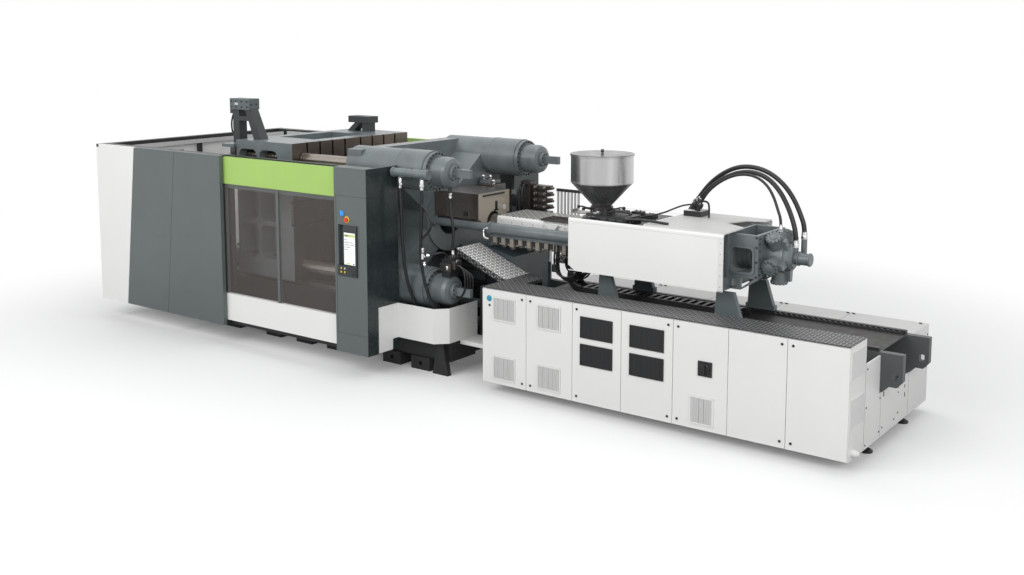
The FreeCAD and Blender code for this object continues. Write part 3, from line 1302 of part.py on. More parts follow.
def tread_plates():
    low = CABINET_TOP - TREAD
    walkway = box(BASE_LEFT, BASE_RIGHT, -CABINET_FRONT, -CABINET_BACK, low, CABINET_TOP)
    landing = box(BASE_LEFT, BASE_LEFT + LANDING_LONG, -CABINET_BACK, -BEAM_OUT - LANDING_GAP, low, CABINET_TOP)
    platform = box(PLATFORM_LEFT, PLATFORM_RIGHT, PLATFORM_IN, PLATFORM_OUT, PLATFORM_TOP - TREAD, PLATFORM_TOP)
    return [walkway, landing, ramp(), platform]


def purge_guard():
    """A smoked box over the nozzle side of the barrel, open below, with room for barrel and pull rods."""
    t = PURGE_SHEET
    y0, y1 = PURGE_Y
    outer = box(HUB_BACK, PURGE_RIGHT, y0, y1, PURGE_LOW, PURGE_TOP)
    hollow = box(HUB_BACK, PURGE_RIGHT - t, y0 + t, y1 - t, PURGE_LOW, PURGE_TOP - t)
    rooms = [rod_x(HUB_BACK, PURGE_RIGHT, 0, AXIS_Z, SCREW_BARREL_R + PURGE_BARREL_CLEAR)]
    rooms += [rod_x(HUB_BACK, PURGE_RIGHT, side * PULL_Y, AXIS_Z + side * PULL_DROP,
                    PULL_COLLAR_R + PURGE_ROD_CLEAR) for side in SIDES]
    return [cut(outer.cut(hollow), rooms)]


# ---- injection base
def lift_hole(side):
    x, z = LIFT_HOLE_X, LIFT_HOLE_Z
    return rounded_box(x - LIFT_HOLE_WIDE / 2, x + LIFT_HOLE_WIDE / 2, side * BEAM_IN, side * BEAM_OUT,
                       z - LIFT_HOLE_TALL / 2, z + LIFT_HOLE_TALL / 2, LIFT_HOLE_EDGE_R, V(0, 1, 0))


def base_beam(side):
    nose = BASE_RIGHT - WALL
    first, second, last = NOSE_STEPS
    middle = NOSE_LOW + NOSE_RISE / 2
    outline = [(BED_RIGHT, BEAM_LOW), (nose, BEAM_LOW), (nose, NOSE_LOW), (nose + first, NOSE_LOW),
               (nose + second, middle), (X_END - last, middle), (X_END, NOSE_LOW + NOSE_RISE),
               (X_END, BEAM_TOP), (BED_RIGHT, BEAM_TOP)]
    return prism_xz(outline, side * BEAM_IN, side * BEAM_OUT).cut(lift_hole(side))


def base_beams():
    parts = [base_beam(side) for side in SIDES]
    for x in CROSS_X:
        parts.append(box(x, x + BASE_CROSS_WIDE, -BEAM_IN, BEAM_IN, BASE_CROSS_Z[0], BASE_CROSS_Z[1]))
    parts.append(box(TRAY_LEFT, BASE_RIGHT - WALL, -BEAM_IN, BEAM_IN - RACK_WIDE, BEAM_TOP - TRAY_THICK, BEAM_TOP))
    parts.append(box(POST_X[0], POST_X[1], -BEAM_IN, POST_WIDE - BEAM_IN, BEAM_TOP, POST_TOP))
    for x in LEVEL_X:
        left, right = x - LEVEL_ARM, x + LEVEL_ARM
        parts.append(box(left, right, -CABINET_BACK, -BEAM_OUT, BASE_LOW, BEAM_LOW + LEVEL_ARM))
        parts.append(box(left, right, -BEAM_OUT, -BEAM_IN, BASE_LOW, BEAM_LOW))
    return parts


def door_edges():
    pitch = (BASE_RIGHT - BASE_LEFT) / DOOR_COUNT
    return [BASE_LEFT + i * pitch for i in range(DOOR_COUNT + 1)]


def cable_gland():
    return fuse([rod_x(BASE_RIGHT, BASE_RIGHT + 60, -GLAND_Y, GLAND_Z, 38),
                 rod_x(BASE_RIGHT + 60, BASE_RIGHT + 80, -GLAND_Y, GLAND_Z, 26)])


def front_cabinet():
    """The carcass behind the seven doors, in four rooms."""
    face_y = CABINET_FRONT - DOOR_THICK
    top = CABINET_TOP - TREAD
    shell = box(BASE_LEFT, BASE_RIGHT, -face_y, -CABINET_BACK, BASE_LOW, top)
    edges = door_edges()
    rooms = []
    for first, last in ((0, 2), (2, 3), (3, 5), (5, 7)):
        rooms.append(box(edges[first] + WALL, edges[last] - WALL, -face_y, -CABINET_BACK - WALL,
                         BASE_LOW + WALL, top - WALL))
    return fuse([cut(shell, rooms), cable_gland()])


def base_cabinets():
    rear = box(BASE_LEFT, BASE_RIGHT, BEAM_OUT, REAR_BACK, BASE_LOW, REAR_TOP)
    low, high = NOSE_LOW - 20, REAR_TOP - 5
    end = prism_yz([(-CABINET_BACK, BASE_LOW), (BEAM_OUT, BASE_LOW), (BEAM_OUT, low), (-BEAM_OUT, low),
                    (-BEAM_OUT, high), (-CABINET_BACK, high)], BASE_RIGHT - WALL, BASE_RIGHT)
    return [front_cabinet(), rear, end]


def levelling_feet():
    rim, slope, r = 18, 34, LEVEL_STEM_R
    profile = [(0, 0), (0, LEVEL_R), (rim, LEVEL_R), (slope, LEVEL_R - 26), (slope, r), (BASE_LOW, r), (BASE_LOW, 0)]
    return [spin_z(profile, x, side * LEVEL_Y) for x in LEVEL_X for side in SIDES]


def latch(x, z):
    return rod_y(x, -CABINET_FRONT - LATCH_PROUD, -CABINET_FRONT, z, LATCH_R)


def vent(x, z0, size):
    """A raised grille with upright slots on a cabinet door; size is width, height and slots."""
    wide, tall, slots = size
    face = -CABINET_FRONT - VENT_PROUD
    plate = box(x - wide / 2, x + wide / 2, face, -CABINET_FRONT, z0, z0 + tall)
    pitch = wide / slots
    left = x - wide / 2
    tools = [box(left + (i + 0.3) * pitch, left + (i + 0.7) * pitch, face, -CABINET_FRONT,
                 z0 + VENT_EDGE, z0 + tall - VENT_EDGE) for i in range(slots)]
    return cut(plate, tools)


def switch_x():
    edges = door_edges()
    return (edges[SWITCH_DOOR - 1] + edges[SWITCH_DOOR]) / 2 + SWITCH_ASIDE


def switch_plate():
    x, z, half = switch_x(), SWITCH_Z, SWITCH_HALF
    return box(x - half, x + half, -CABINET_FRONT - SWITCH_PLATE, -CABINET_FRONT, z - half, z + half)


def cabinet_door(number):
    edges = door_edges()
    left, right = edges[number - 1] + DOOR_GAP / 2, edges[number] - DOOR_GAP / 2
    middle = (left + right) / 2
    parts = [box(left, right, -CABINET_FRONT, -CABINET_FRONT + DOOR_THICK, DOOR_LOW, DOOR_TOP)]
    if number in (1, 2):
        parts += [vent(middle, z, SMALL_VENT) for z in SMALL_VENT_Z]
    if number in (3, 4):
        parts += [vent(middle, z, WIDE_VENT) for z in WIDE_VENT_Z]
    if number == SWITCH_DOOR:
        parts += [vent(middle + SWITCH_VENT_ASIDE, SMALL_VENT_Z[0], SWITCH_VENT), switch_plate()]
    lock_x = right - LATCH_INSET if number in (1, 4, 6) else left + LATCH_INSET
    parts += [latch(lock_x, DOOR_TOP - LATCH_END), latch(lock_x, DOOR_LOW + LATCH_END)]
    return [fuse(parts)]


def switch_handle():
    x, z, reach = switch_x(), SWITCH_Z, SWITCH_REACH
    face = -CABINET_FRONT - SWITCH_PLATE
    hub = rod_y(x, face - 16, face - SLIP, z, SWITCH_HUB_R)
    return [fuse([hub, box(x - 13, x + 13, face - 28, face - 10, z - reach, z + reach)])]


# ---- injection unit
def carriage_leg(side, x0, x1):
    """A slanted leg on its shoe on the rail."""
    slide_z = BEAM_TOP + RAIL_Z + SLIP
    shoe_top = slide_z + SHOE_TALL
    middle = (BEAM_IN + BEAM_OUT) / 2
    shoe = side_box(side, x0, x1, middle - SHOE_HALF, middle + SHOE_HALF, slide_z, shoe_top)
    leg = [(x0 + 20, shoe_top), (x1 - 20, shoe_top), (x1 - LEG_SLANT, DECK_LOW), (x0 + 40, DECK_LOW)]
    y0, y1 = sorted((side * (middle - LEG_HALF), side * (middle + LEG_HALF)))
    return [shoe, prism_xz(leg, y0, y1)]


def energy_chain():
    """The cable chain that rolls out on the tray: two side strips round a half turn, joined by rungs."""
    low, top = BEAM_TOP + SLIP, DECK_LOW
    (y0, y1), r = CHAIN_Y, (top - low) / 2
    middle, inner = low + r, r - CHAIN_TALL
    top_end = SHOE_X[0][0] + DECK_CROSS[1]
    strips = []
    for side_y in (y0, y1 - CHAIN_SIDE):
        turn = rod_y(CHAIN_X, side_y, side_y + CHAIN_SIDE, middle, r)
        turn = turn.cut(rod_y(CHAIN_X, side_y, side_y + CHAIN_SIDE, middle, inner))
        turn = turn.cut(box(CHAIN_X, CHAIN_X + r, side_y, side_y + CHAIN_SIDE, low, top))
        strips += [turn, box(CHAIN_X, CHAIN_LOW_END, side_y, side_y + CHAIN_SIDE, low, low + CHAIN_TALL),
                   box(CHAIN_X, top_end, side_y, side_y + CHAIN_SIDE, top - CHAIN_TALL, top)]
    rungs = []
    for z, end in ((low + CHAIN_TALL - CHAIN_RUNG_THICK, CHAIN_LOW_END), (top - CHAIN_TALL, top_end)):
        for i in range(int((end - CHAIN_X) / CHAIN_PITCH)):
            x = CHAIN_X + (i + 0.5) * CHAIN_PITCH
            rungs.append(box(x - CHAIN_RUNG / 2, x + CHAIN_RUNG / 2, y0 + CHAIN_SIDE, y1 - CHAIN_SIDE,
                             z, z + CHAIN_RUNG_THICK))
    for k in range(1, CHAIN_TURN_RUNGS):
        rung = box(CHAIN_X - r, CHAIN_X - r + CHAIN_RUNG_THICK, y0 + CHAIN_SIDE, y1 - CHAIN_SIDE,
                   middle - CHAIN_RUNG / 2, middle + CHAIN_RUNG / 2)
        rung.rotate(V(CHAIN_X, 0, middle), V(0, 1, 0), 90 - 180.0 * k / CHAIN_TURN_RUNGS)
        rungs.append(rung)
    return fuse(strips + rungs)


def junction_box():
    """The terminal box for the barrel's heaters, on a post behind the front cover."""
    x0, x1 = SHOE_X[0][0] + DECK_CROSS[0], SHOE_X[0][0] + DECK_CROSS[1]
    post = box(x0, x1, JUNCTION_POST_Y[0], JUNCTION_POST_Y[1], HOUSING_LOW, JUNCTION_Z[0])
    body = box(JUNCTION_X[0], JUNCTION_X[1], JUNCTION_Y[0], JUNCTION_Y[1], JUNCTION_Z[0], JUNCTION_Z[1])
    cap = rod_z(JUNCTION_X[0] + 2 * JUNCTION_CAP_R, JUNCTION_Y[0] + 2 * JUNCTION_CAP_R, JUNCTION_Z[1],
                JUNCTION_Z[1] + JUNCTION_CAP_R, JUNCTION_CAP_R)
    return fuse([post, body, cap])


def carriage_frame():
    left, top = SHOE_X[0][0] - RUNNER_AHEAD, DECK_LOW + DECK_TALL
    out, inner = DECK_HALF - RUNNER_INSET, DECK_HALF - RUNNER_INSET - RUNNER_WIDE
    parts = [side_box(side, left, HOUSING_LEFT, inner, out, DECK_LOW, top) for side in SIDES]
    half = COVER_HALF - COVER_THICK
    for x0, x1 in SHOE_X:
        parts.append(box(x0 + DECK_CROSS[0], x0 + DECK_CROSS[1], -half, half, DECK_LOW + DECK_TALL / 2, HOUSING_LOW))
        for side in SIDES:
            parts += carriage_leg(side, x0, x1)
    parts.append(box(HOPPER_X - THROAT_HALF, HOPPER_X + THROAT_HALF, -out, out, DECK_LOW, top))
    parts.append(box(HOPPER_X - 90, HOPPER_X + 90, -90, 90, top, AXIS_Z - THROAT_HALF))
    parts.append(box(HOUSING_LEFT - 120, HOUSING_LEFT, -HOUSING_HALF, HOUSING_HALF, DECK_LOW, HOUSING_LOW))
    return [fuse(parts), energy_chain(), junction_box()]


def barrel():
    """Nozzle, adapter and heated barrel, bored for the screw from the feed block on."""
    rear, thin = HOPPER_X - THROAT_HALF, SCREW_BORE_R * 0.2
    profile = [(NOZZLE_TIP, thin), (NOZZLE_TIP, NOZZLE_R), (NOZZLE_TIP + NOZZLE_LONG, 45), (ADAPTER_X, 60),
               (ADAPTER_X, ADAPTER_R), (BARREL_FRONT, ADAPTER_R), (BARREL_FRONT, SCREW_BARREL_R),
               (rear, SCREW_BARREL_R), (rear, SCREW_BORE_R), (BARREL_FRONT - 40, SCREW_BORE_R),
               (BARREL_FRONT - 120, thin)]
    return [spin_x(profile, 0, AXIS_Z)]


def throat_block():
    """The feed block round the rear of the barrel, with the gap that the shut-off slide runs in."""
    x, half = HOPPER_X, THROAT_PLATE_HALF
    block = box(x - THROAT_HALF, x + THROAT_HALF, -THROAT_HALF, THROAT_HALF, AXIS_Z - THROAT_HALF, THROAT_TOP)
    bore = rod_x(x - THROAT_HALF, x + THROAT_HALF, 0, AXIS_Z, SCREW_BORE_R)
    block = cut(block, [bore, rod_z(x, 0, AXIS_Z, THROAT_TOP, FEED_R)])
    plate_low = THROAT_TOP + SLIDE_ROOM
    cheeks = [side_box(side, x - half, x + half, half - THROAT_CHEEK, half, THROAT_TOP, plate_low) for side in SIDES]
    plate = box(x - half, x + half, -half, half, plate_low, HOPPER_BASE)
    return [fuse([block] + cheeks + [plate.cut(rod_z(x, 0, plate_low, HOPPER_BASE, FEED_R))])]


def shutoff_slide():
    z0 = THROAT_TOP + SLIP
    left, right = HOPPER_X + SLIDE_SPAN[0], HOPPER_X + SLIDE_SPAN[1]
    plate = box(left, right, -SLIDE_HALF, SLIDE_HALF, z0, z0 + SLIDE_THICK)
    plate = plate.cut(rod_z(HOPPER_X, 0, z0, z0 + SLIDE_THICK, FEED_R - 2))
    grip = box(left - SLIDE_GRIP, left, -60, 60, z0 - 10, z0 + SLIDE_THICK + 30)
    return [fuse([plate, grip])]


def hopper():
    """Neck with its flange, cone and drum, welded one on the other."""
    w, x = HOPPER_WALL, HOPPER_X
    flange_top = HOPPER_BASE + HOPPER_FLANGE
    neck, r = HOPPER_NECK_R, HOPPER_R
    rim = HOPPER_TOP - HOPPER_RIM
    foot = spin_z([(HOPPER_BASE, neck - w), (HOPPER_BASE, HOPPER_FLANGE_R), (flange_top, HOPPER_FLANGE_R),
                   (flange_top, neck), (HOPPER_NECK_Z, neck), (HOPPER_NECK_Z, neck - w)], x, 0)
    cone = spin_z([(HOPPER_NECK_Z, neck - w), (HOPPER_NECK_Z, neck), (HOPPER_KNEE, r), (HOPPER_KNEE, r - w)], x, 0)
    drum = spin_z([(HOPPER_KNEE, r - w), (HOPPER_KNEE, r), (rim, r), (rim, r + HOPPER_RIM), (HOPPER_TOP, r + HOPPER_RIM),
                   (HOPPER_TOP, r - w)], x, 0)
    return [foot, cone, drum]


def hopper_lid():
    low = HOPPER_TOP + SLIP
    top = low + LID_THICK
    return [spin_z([(low, 0), (low, LID_R), (top, LID_R), (top, KNOB_R), (top + KNOB_TALL - 20, KNOB_R),
                    (top + KNOB_TALL - 16, KNOB_R + 8), (top + KNOB_TALL, KNOB_R + 8), (top + KNOB_TALL, 0)],
                   HOPPER_X, 0)]


def barrel_sheath():
    half, low, high, t = BARREL_COVER_HALF, BARREL_COVER_LOW, BARREL_COVER_TOP, SHEATH_SHEET
    left, right = BARREL_COVER_X, COVER_LEFT - SHEATH_SHORT
    outer = rounded_box(left, right, -half, half, low, high, SHEATH_EDGE_R, V(1, 0, 0))
    inner = rounded_box(left, right, -half + t, half - t, low + t, high - t, SHEATH_EDGE_R - t, V(1, 0, 0))
    plate = box(left, left + SHEATH_END, -half + t, half - t, low + t, high - t)
    plate = plate.cut(rod_x(left, left + SHEATH_END, 0, AXIS_Z, SCREW_BARREL_R))
    walk = box(left, right, half - SHEATH_EDGE_R, BARREL_COVER_BACK, high - t, high)
    hem = box(left, right, BARREL_COVER_BACK - t, BARREL_COVER_BACK, high - BARREL_COVER_HEM, high)
    return fuse([outer.cut(inner), plate, walk, hem])


def cover_shell(half, top, r):
    """A box over the unit's whole length whose two long top edges are rounded."""
    solid = box(COVER_LEFT, COVER_RIGHT, -half, half, COVER_LOW, top)
    edges = [e for e in solid.Edges if abs(abs(e.tangentAt(0).x) - 1) < 1e-6 and e.Vertexes[0].Z > top - 1]
    return solid.makeFillet(r, edges)


def hose_clamps():
    """The fittings that the motor hoses start from, on a foot on the roof."""
    x0, x1 = HOSE_FOOT_X
    under = box(x0 - 200, x1 + 200, HOSE_FOOT_Y[0] - 100, HOSE_FOOT_Y[1] + 100, COVER_TOP - 300, COVER_TOP)
    parts = [box(x0, x1, HOSE_FOOT_Y[0], HOSE_FOOT_Y[1], COVER_TOP, COVER_TOP + HOSE_FOOT_TALL)]
    for route, r in zip(MOTOR_HOSES, MOTOR_HOSE_R):
        parts.append(socket(route, r + 6, SOCKET_LONG).cut(under))
    return parts


def unit_covers():
    t = COVER_THICK
    shell = cover_shell(COVER_HALF, COVER_TOP, COVER_EDGE_R).cut(cover_shell(COVER_HALF - t, COVER_TOP - t,
                                                                             COVER_EDGE_R - t))
    open_top = box(COVER_LEFT, ROOF_LEFT, -COVER_HALF + t, COVER_HALF - t, COVER_TOP - COVER_EDGE_R, COVER_TOP)
    crest = [side_box(side, COVER_LEFT, ROOF_LEFT, COVER_HALF - COVER_EDGE_R, COVER_HALF, COVER_TOP - 12, COVER_TOP)
             for side in SIDES]
    notch = prism_xy([(COVER_RIGHT, -120), (COVER_RIGHT, 480), (COVER_RIGHT - 200, 400), (COVER_RIGHT - 330, 60)],
                     COVER_TOP - t, COVER_TOP)
    corner = prism_xz([(COVER_LEFT, COVER_LOW), (COVER_LEFT + 110, COVER_LOW), (COVER_LEFT, COVER_LOW + 70)],
                      -COVER_HALF, COVER_HALF)
    back = box(COVER_LEFT, ROOF_LEFT, COVER_HALF - COVER_EDGE_R, COVER_HALF, COVER_TOP - COVER_BACK_DROP, COVER_TOP)
    shell = cut(shell, [open_top, notch, corner, back] + crest)
    return [fuse([shell] + hose_clamps()), barrel_sheath()]


def pull_cylinder(side):
    """One of the two cylinders that draw the carriage to the fixed platen."""
    z = AXIS_Z + side * PULL_DROP
    end = HOPPER_X + THROAT_HALF - 10
    tube = rod_x(BARREL_COVER_X, end, side * PULL_Y, z, PULL_TUBE_R)
    bore_end = COVER_LEFT - PULL_BORE_SHORT
    tube = tube.cut(rod_x(BARREL_COVER_X, bore_end, side * PULL_Y, z, PULL_ROD_R + SLIP))
    head = rod_x(BARREL_COVER_X, BARREL_COVER_X + PULL_HEAD_LONG, side * PULL_Y, z, PULL_HEAD_R)
    head = head.cut(rod_x(BARREL_COVER_X, BARREL_COVER_X + PULL_HEAD_LONG, side * PULL_Y, z, PULL_ROD_R + SLIP))
    mount = side_box(side, end - 60, end, PULL_Y - 60, PULL_Y + 60, DECK_LOW + DECK_TALL, z - PULL_TUBE_R + 10)
    strip_top = z - PULL_TUBE_R - PULL_STRIP_DROP
    strip_left, strip_right = BARREL_COVER_X + PULL_HEAD_LONG, COVER_LEFT - SHEATH_SHORT
    strip = side_box(side, strip_left, strip_right, PULL_Y - PULL_STRIP_HALF, PULL_Y + PULL_STRIP_HALF,
                     strip_top - PULL_STRIP_THICK, strip_top)
    web = side_box(side, strip_left, strip_right, PULL_Y - PULL_STRIP_THICK, PULL_Y + PULL_STRIP_THICK,
                   strip_top, z - PULL_TUBE_R + 10)
    return fuse([tube, head, mount, strip, web])


def yoke_wall(side):
    """A side wall of the yoke: a rounded window with a raised rim, and a bracket and a strut below it."""
    inset = HOUSING_HALF - YOKE_INSET
    y0, y1 = side * (inset - HOUSING_PLATE), side * inset
    rim_y = side * (inset + YOKE_RIM_PROUD)
    left, right = HOUSING_LEFT + HOUSING_PLATE, HOUSING_RIGHT - HOUSING_PLATE
    low, top, w = HOUSING_LOW + YOKE_WINDOW_LOW, HOUSING_TOP - YOKE_WINDOW_TOP, YOKE_RIM_WIDE
    along = V(0, 1, 0)
    web = side_box(side, HOUSING_LEFT, HOUSING_RIGHT, inset - HOUSING_PLATE, inset, HOUSING_LOW, HOUSING_TOP)
    rim = rounded_box(left, right, y1, rim_y, low - w, top + w, 50 + w / 2, along)
    window = rounded_box(left + w, right - w, y0, rim_y, low, top, 50, along)
    x0, x1 = HOUSING_LEFT + YOKE_BRACKET_X[0], HOUSING_LEFT + YOKE_BRACKET_X[1]
    bracket_low = HOUSING_LOW - YOKE_BRACKET_DROP
    hole_x0, hole_x1, hole_tall, hole_r = YOKE_BRACKET_HOLE
    hole_low = bracket_low + (YOKE_BRACKET_DROP - hole_tall) / 2
    bracket = side_box(side, x0, x1, inset - HOUSING_PLATE, inset, bracket_low, HOUSING_LOW)
    hole = rounded_box(HOUSING_LEFT + hole_x0, HOUSING_LEFT + hole_x1, y0, y1, hole_low, hole_low + hole_tall,
                       hole_r, along)
    strut = prism_xz([(x1 - 30, bracket_low), (x1, bracket_low), (HOUSING_RIGHT, HOUSING_LOW - 15),
                      (HOUSING_RIGHT, HOUSING_LOW), (HOUSING_RIGHT - HOUSING_PLATE, HOUSING_LOW)], *sorted((y0, y1)))
    return fuse([cut(fuse([web, rim]), [window]), cut(bracket, [hole]), strut])


def bearing():
    """The ringed thrust bearing inside the yoke, which the drive spindle runs through."""
    left = HOUSING_LEFT + HOUSING_PLATE
    bore, r = SPINDLE_R + SLIP, BEARING_R
    profile = [(left, bore), (left, r)]
    for at in BEARING_GROOVES:
        profile += [(left + at, r), (left + at, r - BEARING_GROOVE / 2), (left + at + BEARING_GROOVE, r - BEARING_GROOVE / 2),
                    (left + at + BEARING_GROOVE, r)]
    profile += [(left + BEARING_LONG - BEARING_GROOVE, r), (left + BEARING_LONG, r - BEARING_GROOVE),
                (left + BEARING_LONG, bore)]
    return spin_x(profile, 0, AXIS_Z)


def drive_yoke():
    """Two plates joined by side walls with a rounded window in each, round the thrust bearing."""
    low, high, inset = HOUSING_LOW, HOUSING_TOP, HOUSING_HALF - YOKE_INSET
    plates = [box(HOUSING_LEFT, HOUSING_LEFT + HOUSING_PLATE, -HOUSING_HALF, HOUSING_HALF, low, high),
              box(HOUSING_RIGHT - HOUSING_PLATE, HOUSING_RIGHT, -inset, inset, low, high)]
    bore = rod_x(HOUSING_LEFT, HOUSING_RIGHT, 0, AXIS_Z, SPINDLE_R + SLIP)
    return fuse([plate.cut(bore) for plate in plates] + [yoke_wall(side) for side in SIDES] + [bearing()])


def injection_cylinder(side):
    """Cylinder, rod and the crosshead that pushes on the feed block."""
    left = HOPPER_X + THROAT_HALF
    rod_left, tube_left = left + CROSSHEAD_LONG, left + INJECT_TUBE_AT
    return [rod_x(tube_left, HOUSING_LEFT, side * INJECT_Y, AXIS_Z, INJECT_R),
            rod_x(rod_left, tube_left, side * INJECT_Y, AXIS_Z, INJECT_ROD_R),
            side_box(side, left, rod_left, SPINDLE_HUB_R + CROSSHEAD_CLEAR, INJECT_Y + 110,
                     AXIS_Z - CROSSHEAD_HALF, AXIS_Z + CROSSHEAD_HALF)]


def drive_housing():
    parts = [drive_yoke()]
    for side in SIDES:
        parts.append(pull_cylinder(side))
        parts += injection_cylinder(side)
    return parts


def motor_lobe(turn, middle):
    """A radial cylinder of the motor with a head whose edge is scalloped between its bolts."""
    out = V(0, math.cos(turn), math.sin(turn))
    across = V(0, -math.sin(turn), math.cos(turn))
    centre = V(middle, 0, AXIS_Z)
    body = Part.makeCylinder(LOBE_R - 12, LOBE_LONG, centre + out * LOBE_FOOT, out)
    seat = centre + out * (LOBE_FOOT + LOBE_LONG)
    head = Part.makeCylinder(LOBE_R - 6, LOBE_HEAD, seat, out)
    bolts = []
    ring = LOBE_R - LOBE_BOLT_R
    for k in range(LOBE_BOLTS):
        angle = 2 * math.pi * k / LOBE_BOLTS
        at = seat + V(1, 0, 0) * (ring * math.cos(angle)) + across * (ring * math.sin(angle))
        bolts.append(Part.makeCylinder(LOBE_BOLT_R, LOBE_HEAD - 6, at, out))
    return [body, head] + bolts


def motor_rib(turn):
    """A raised rib on the motor's front, from its middle out to a lobe."""
    front = HOUSING_RIGHT + MOTOR_LONG
    out, across = V(0, math.cos(turn), math.sin(turn)), V(0, -math.sin(turn), math.cos(turn))
    centre = V(front - RIB_PROUD, 0, AXIS_Z)
    points = [centre + across * RIB_HALF, centre + out * RIB_REACH + across * RIB_NOSE_HALF,
              centre + out * RIB_REACH - across * RIB_NOSE_HALF, centre - across * RIB_HALF]
    return prism(points, V(2 * RIB_PROUD, 0, 0))


def piston_motor():
    body_end = HOUSING_RIGHT + MOTOR_LONG
    parts = [rod_x(HOUSING_RIGHT, body_end, 0, AXIS_Z, MOTOR_R)]
    for i in range(LOBE_COUNT):
        turn = 2 * math.pi * i / LOBE_COUNT - math.pi / 2
        parts += motor_lobe(turn, (HOUSING_RIGHT + body_end) / 2)
        parts.append(motor_rib(turn))
    parts.append(spin_x([(body_end, 0), (body_end, VALVE_R), (body_end + 60, VALVE_R - 20), (body_end + 90, 110),
                         (body_end + 90, 72), (MOTOR_END, 72), (MOTOR_END, 0)], 0, AXIS_Z))
    for (x, y, z), r in zip([route[-1] for route in MOTOR_HOSES], MOTOR_HOSE_R):
        parts.append(rod_z(x, y, AXIS_Z, z, r + 6))
        if y:
            parts.append(rod_y(x, 0, y, AXIS_Z, r + 6))
    return [fuse(parts).cut(rod_x(HOUSING_RIGHT, HOUSING_RIGHT + SPINDLE_IN + 10, 0, AXIS_Z, SPINDLE_R + SLIP))]


def drive_spindle():
    left = HOPPER_X + THROAT_HALF + SPINDLE_REST + SPINDLE_STROKE
    shaft = rod_x(left, HOUSING_RIGHT + SPINDLE_IN, 0, AXIS_Z, SPINDLE_R)
    hub = rod_x(left, left + SPINDLE_HUB_LONG, 0, AXIS_Z, SPINDLE_HUB_R)
    return [fuse([shaft, hub])]


def screw():
    """The plasticising screw, drawn back by its stroke; its flights are rings at a coarse pitch."""
    left = BARREL_FRONT + SPINDLE_REST + SPINDLE_STROKE
    right = HOPPER_X + THROAT_HALF + SPINDLE_REST + SPINDLE_STROKE - SLIP
    parts = [spin_x([(left - SCREW_TIP, 0), (left, SCREW_CORE_R), (right, SCREW_CORE_R), (right, 0)], 0, AXIS_Z)]
    x = left + 40
    while x < HOPPER_X - 200:
        parts.append(rod_x(x, x + FLIGHT_WIDE, 0, AXIS_Z, SCREW_R))
        x += FLIGHT_PITCH
    rear = HOPPER_X + THROAT_HALF
    parts.append(rod_x(rear - SCREW_TIP, rear, 0, AXIS_Z, SCREW_R))
    return [fuse(parts)]


# ---- the whole machine
def write(name, solids):
    shape = solids[0] if len(solids) == 1 else Part.makeCompound(solids)
    shape.exportStep("parts/%s.step" % name)


def main():
    os.makedirs("parts", exist_ok=True)
    nodes = {
        "clamp_bed": clamp_bed(),
        "guide_rails": guide_rails(),
        "stationary_platen": stationary_platen(),
        "clamp_cylinders": clamp_cylinders(),
        "cylinder_caps": cylinder_caps(),
        "tie_bars": tie_bars(),
        "guard_frame": guard_frame(),
        "guard_panels": guard_panels(),
        "grey_panels": grey_panels(),
        "control_column": control_column(),
        "operator_panel": operator_panel(),
        "service_panels": service_panels(),
        "tread_plates": tread_plates(),
        "base_beams": base_beams(),
        "base_cabinets": base_cabinets(),
        "levelling_feet": levelling_feet(),
        "hydraulic_blocks": hydraulic_blocks(),
        "hydraulic_cylinders": hydraulic_cylinders(),
        "purge_guard": purge_guard(),
        "moving_platen": moving_platen(),
        "hose_towers": hose_towers(),
        "lock_halves_front": lock_halves(-1),
        "lock_halves_rear": lock_halves(1),
        "ejector": ejector(),
        "carriage_frame": carriage_frame(),
        "barrel": barrel() + throat_block(),
        "shutoff_slide": shutoff_slide(),
        "hopper": hopper(),
        "hopper_lid": hopper_lid(),
        "unit_covers": unit_covers(),
        "drive_housing": drive_housing(),
        "piston_motor": piston_motor(),
        "drive_spindle": drive_spindle(),
        "screw": screw(),
        "stop_button": stop_button(),
        "start_button": start_button(),
        "switch_handle": switch_handle(),
    }
    for name, side in (("front", -1), ("rear", 1)):
        nodes["%s_gate_frame" % name] = gate_frame(side)
        nodes["%s_gate_window" % name] = gate_window(side)
        nodes["%s_gate_band" % name] = gate_band(side)
    for number in range(1, DOOR_COUNT + 1):
        nodes["cabinet_door_%d" % number] = cabinet_door(number)
    for number, (x, z) in enumerate([(x, z) for z in KEY_Z for x in KEY_X], 1):
        nodes["panel_key_%d" % number] = panel_key(x, z)
    for number in range(3):
        nodes["motor_hose_%d" % (number + 1)] = [hose(MOTOR_HOSES[number], MOTOR_HOSE_R[number])]
        nodes["platen_hose_%d" % (number + 1)] = [hose(PLATEN_HOSES[number], PLATEN_HOSE_R[number])]
    for name, solids in nodes.items():
        write(name, solids)


main()
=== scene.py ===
import bpy
import bmesh
import math
from mathutils import Matrix, Vector


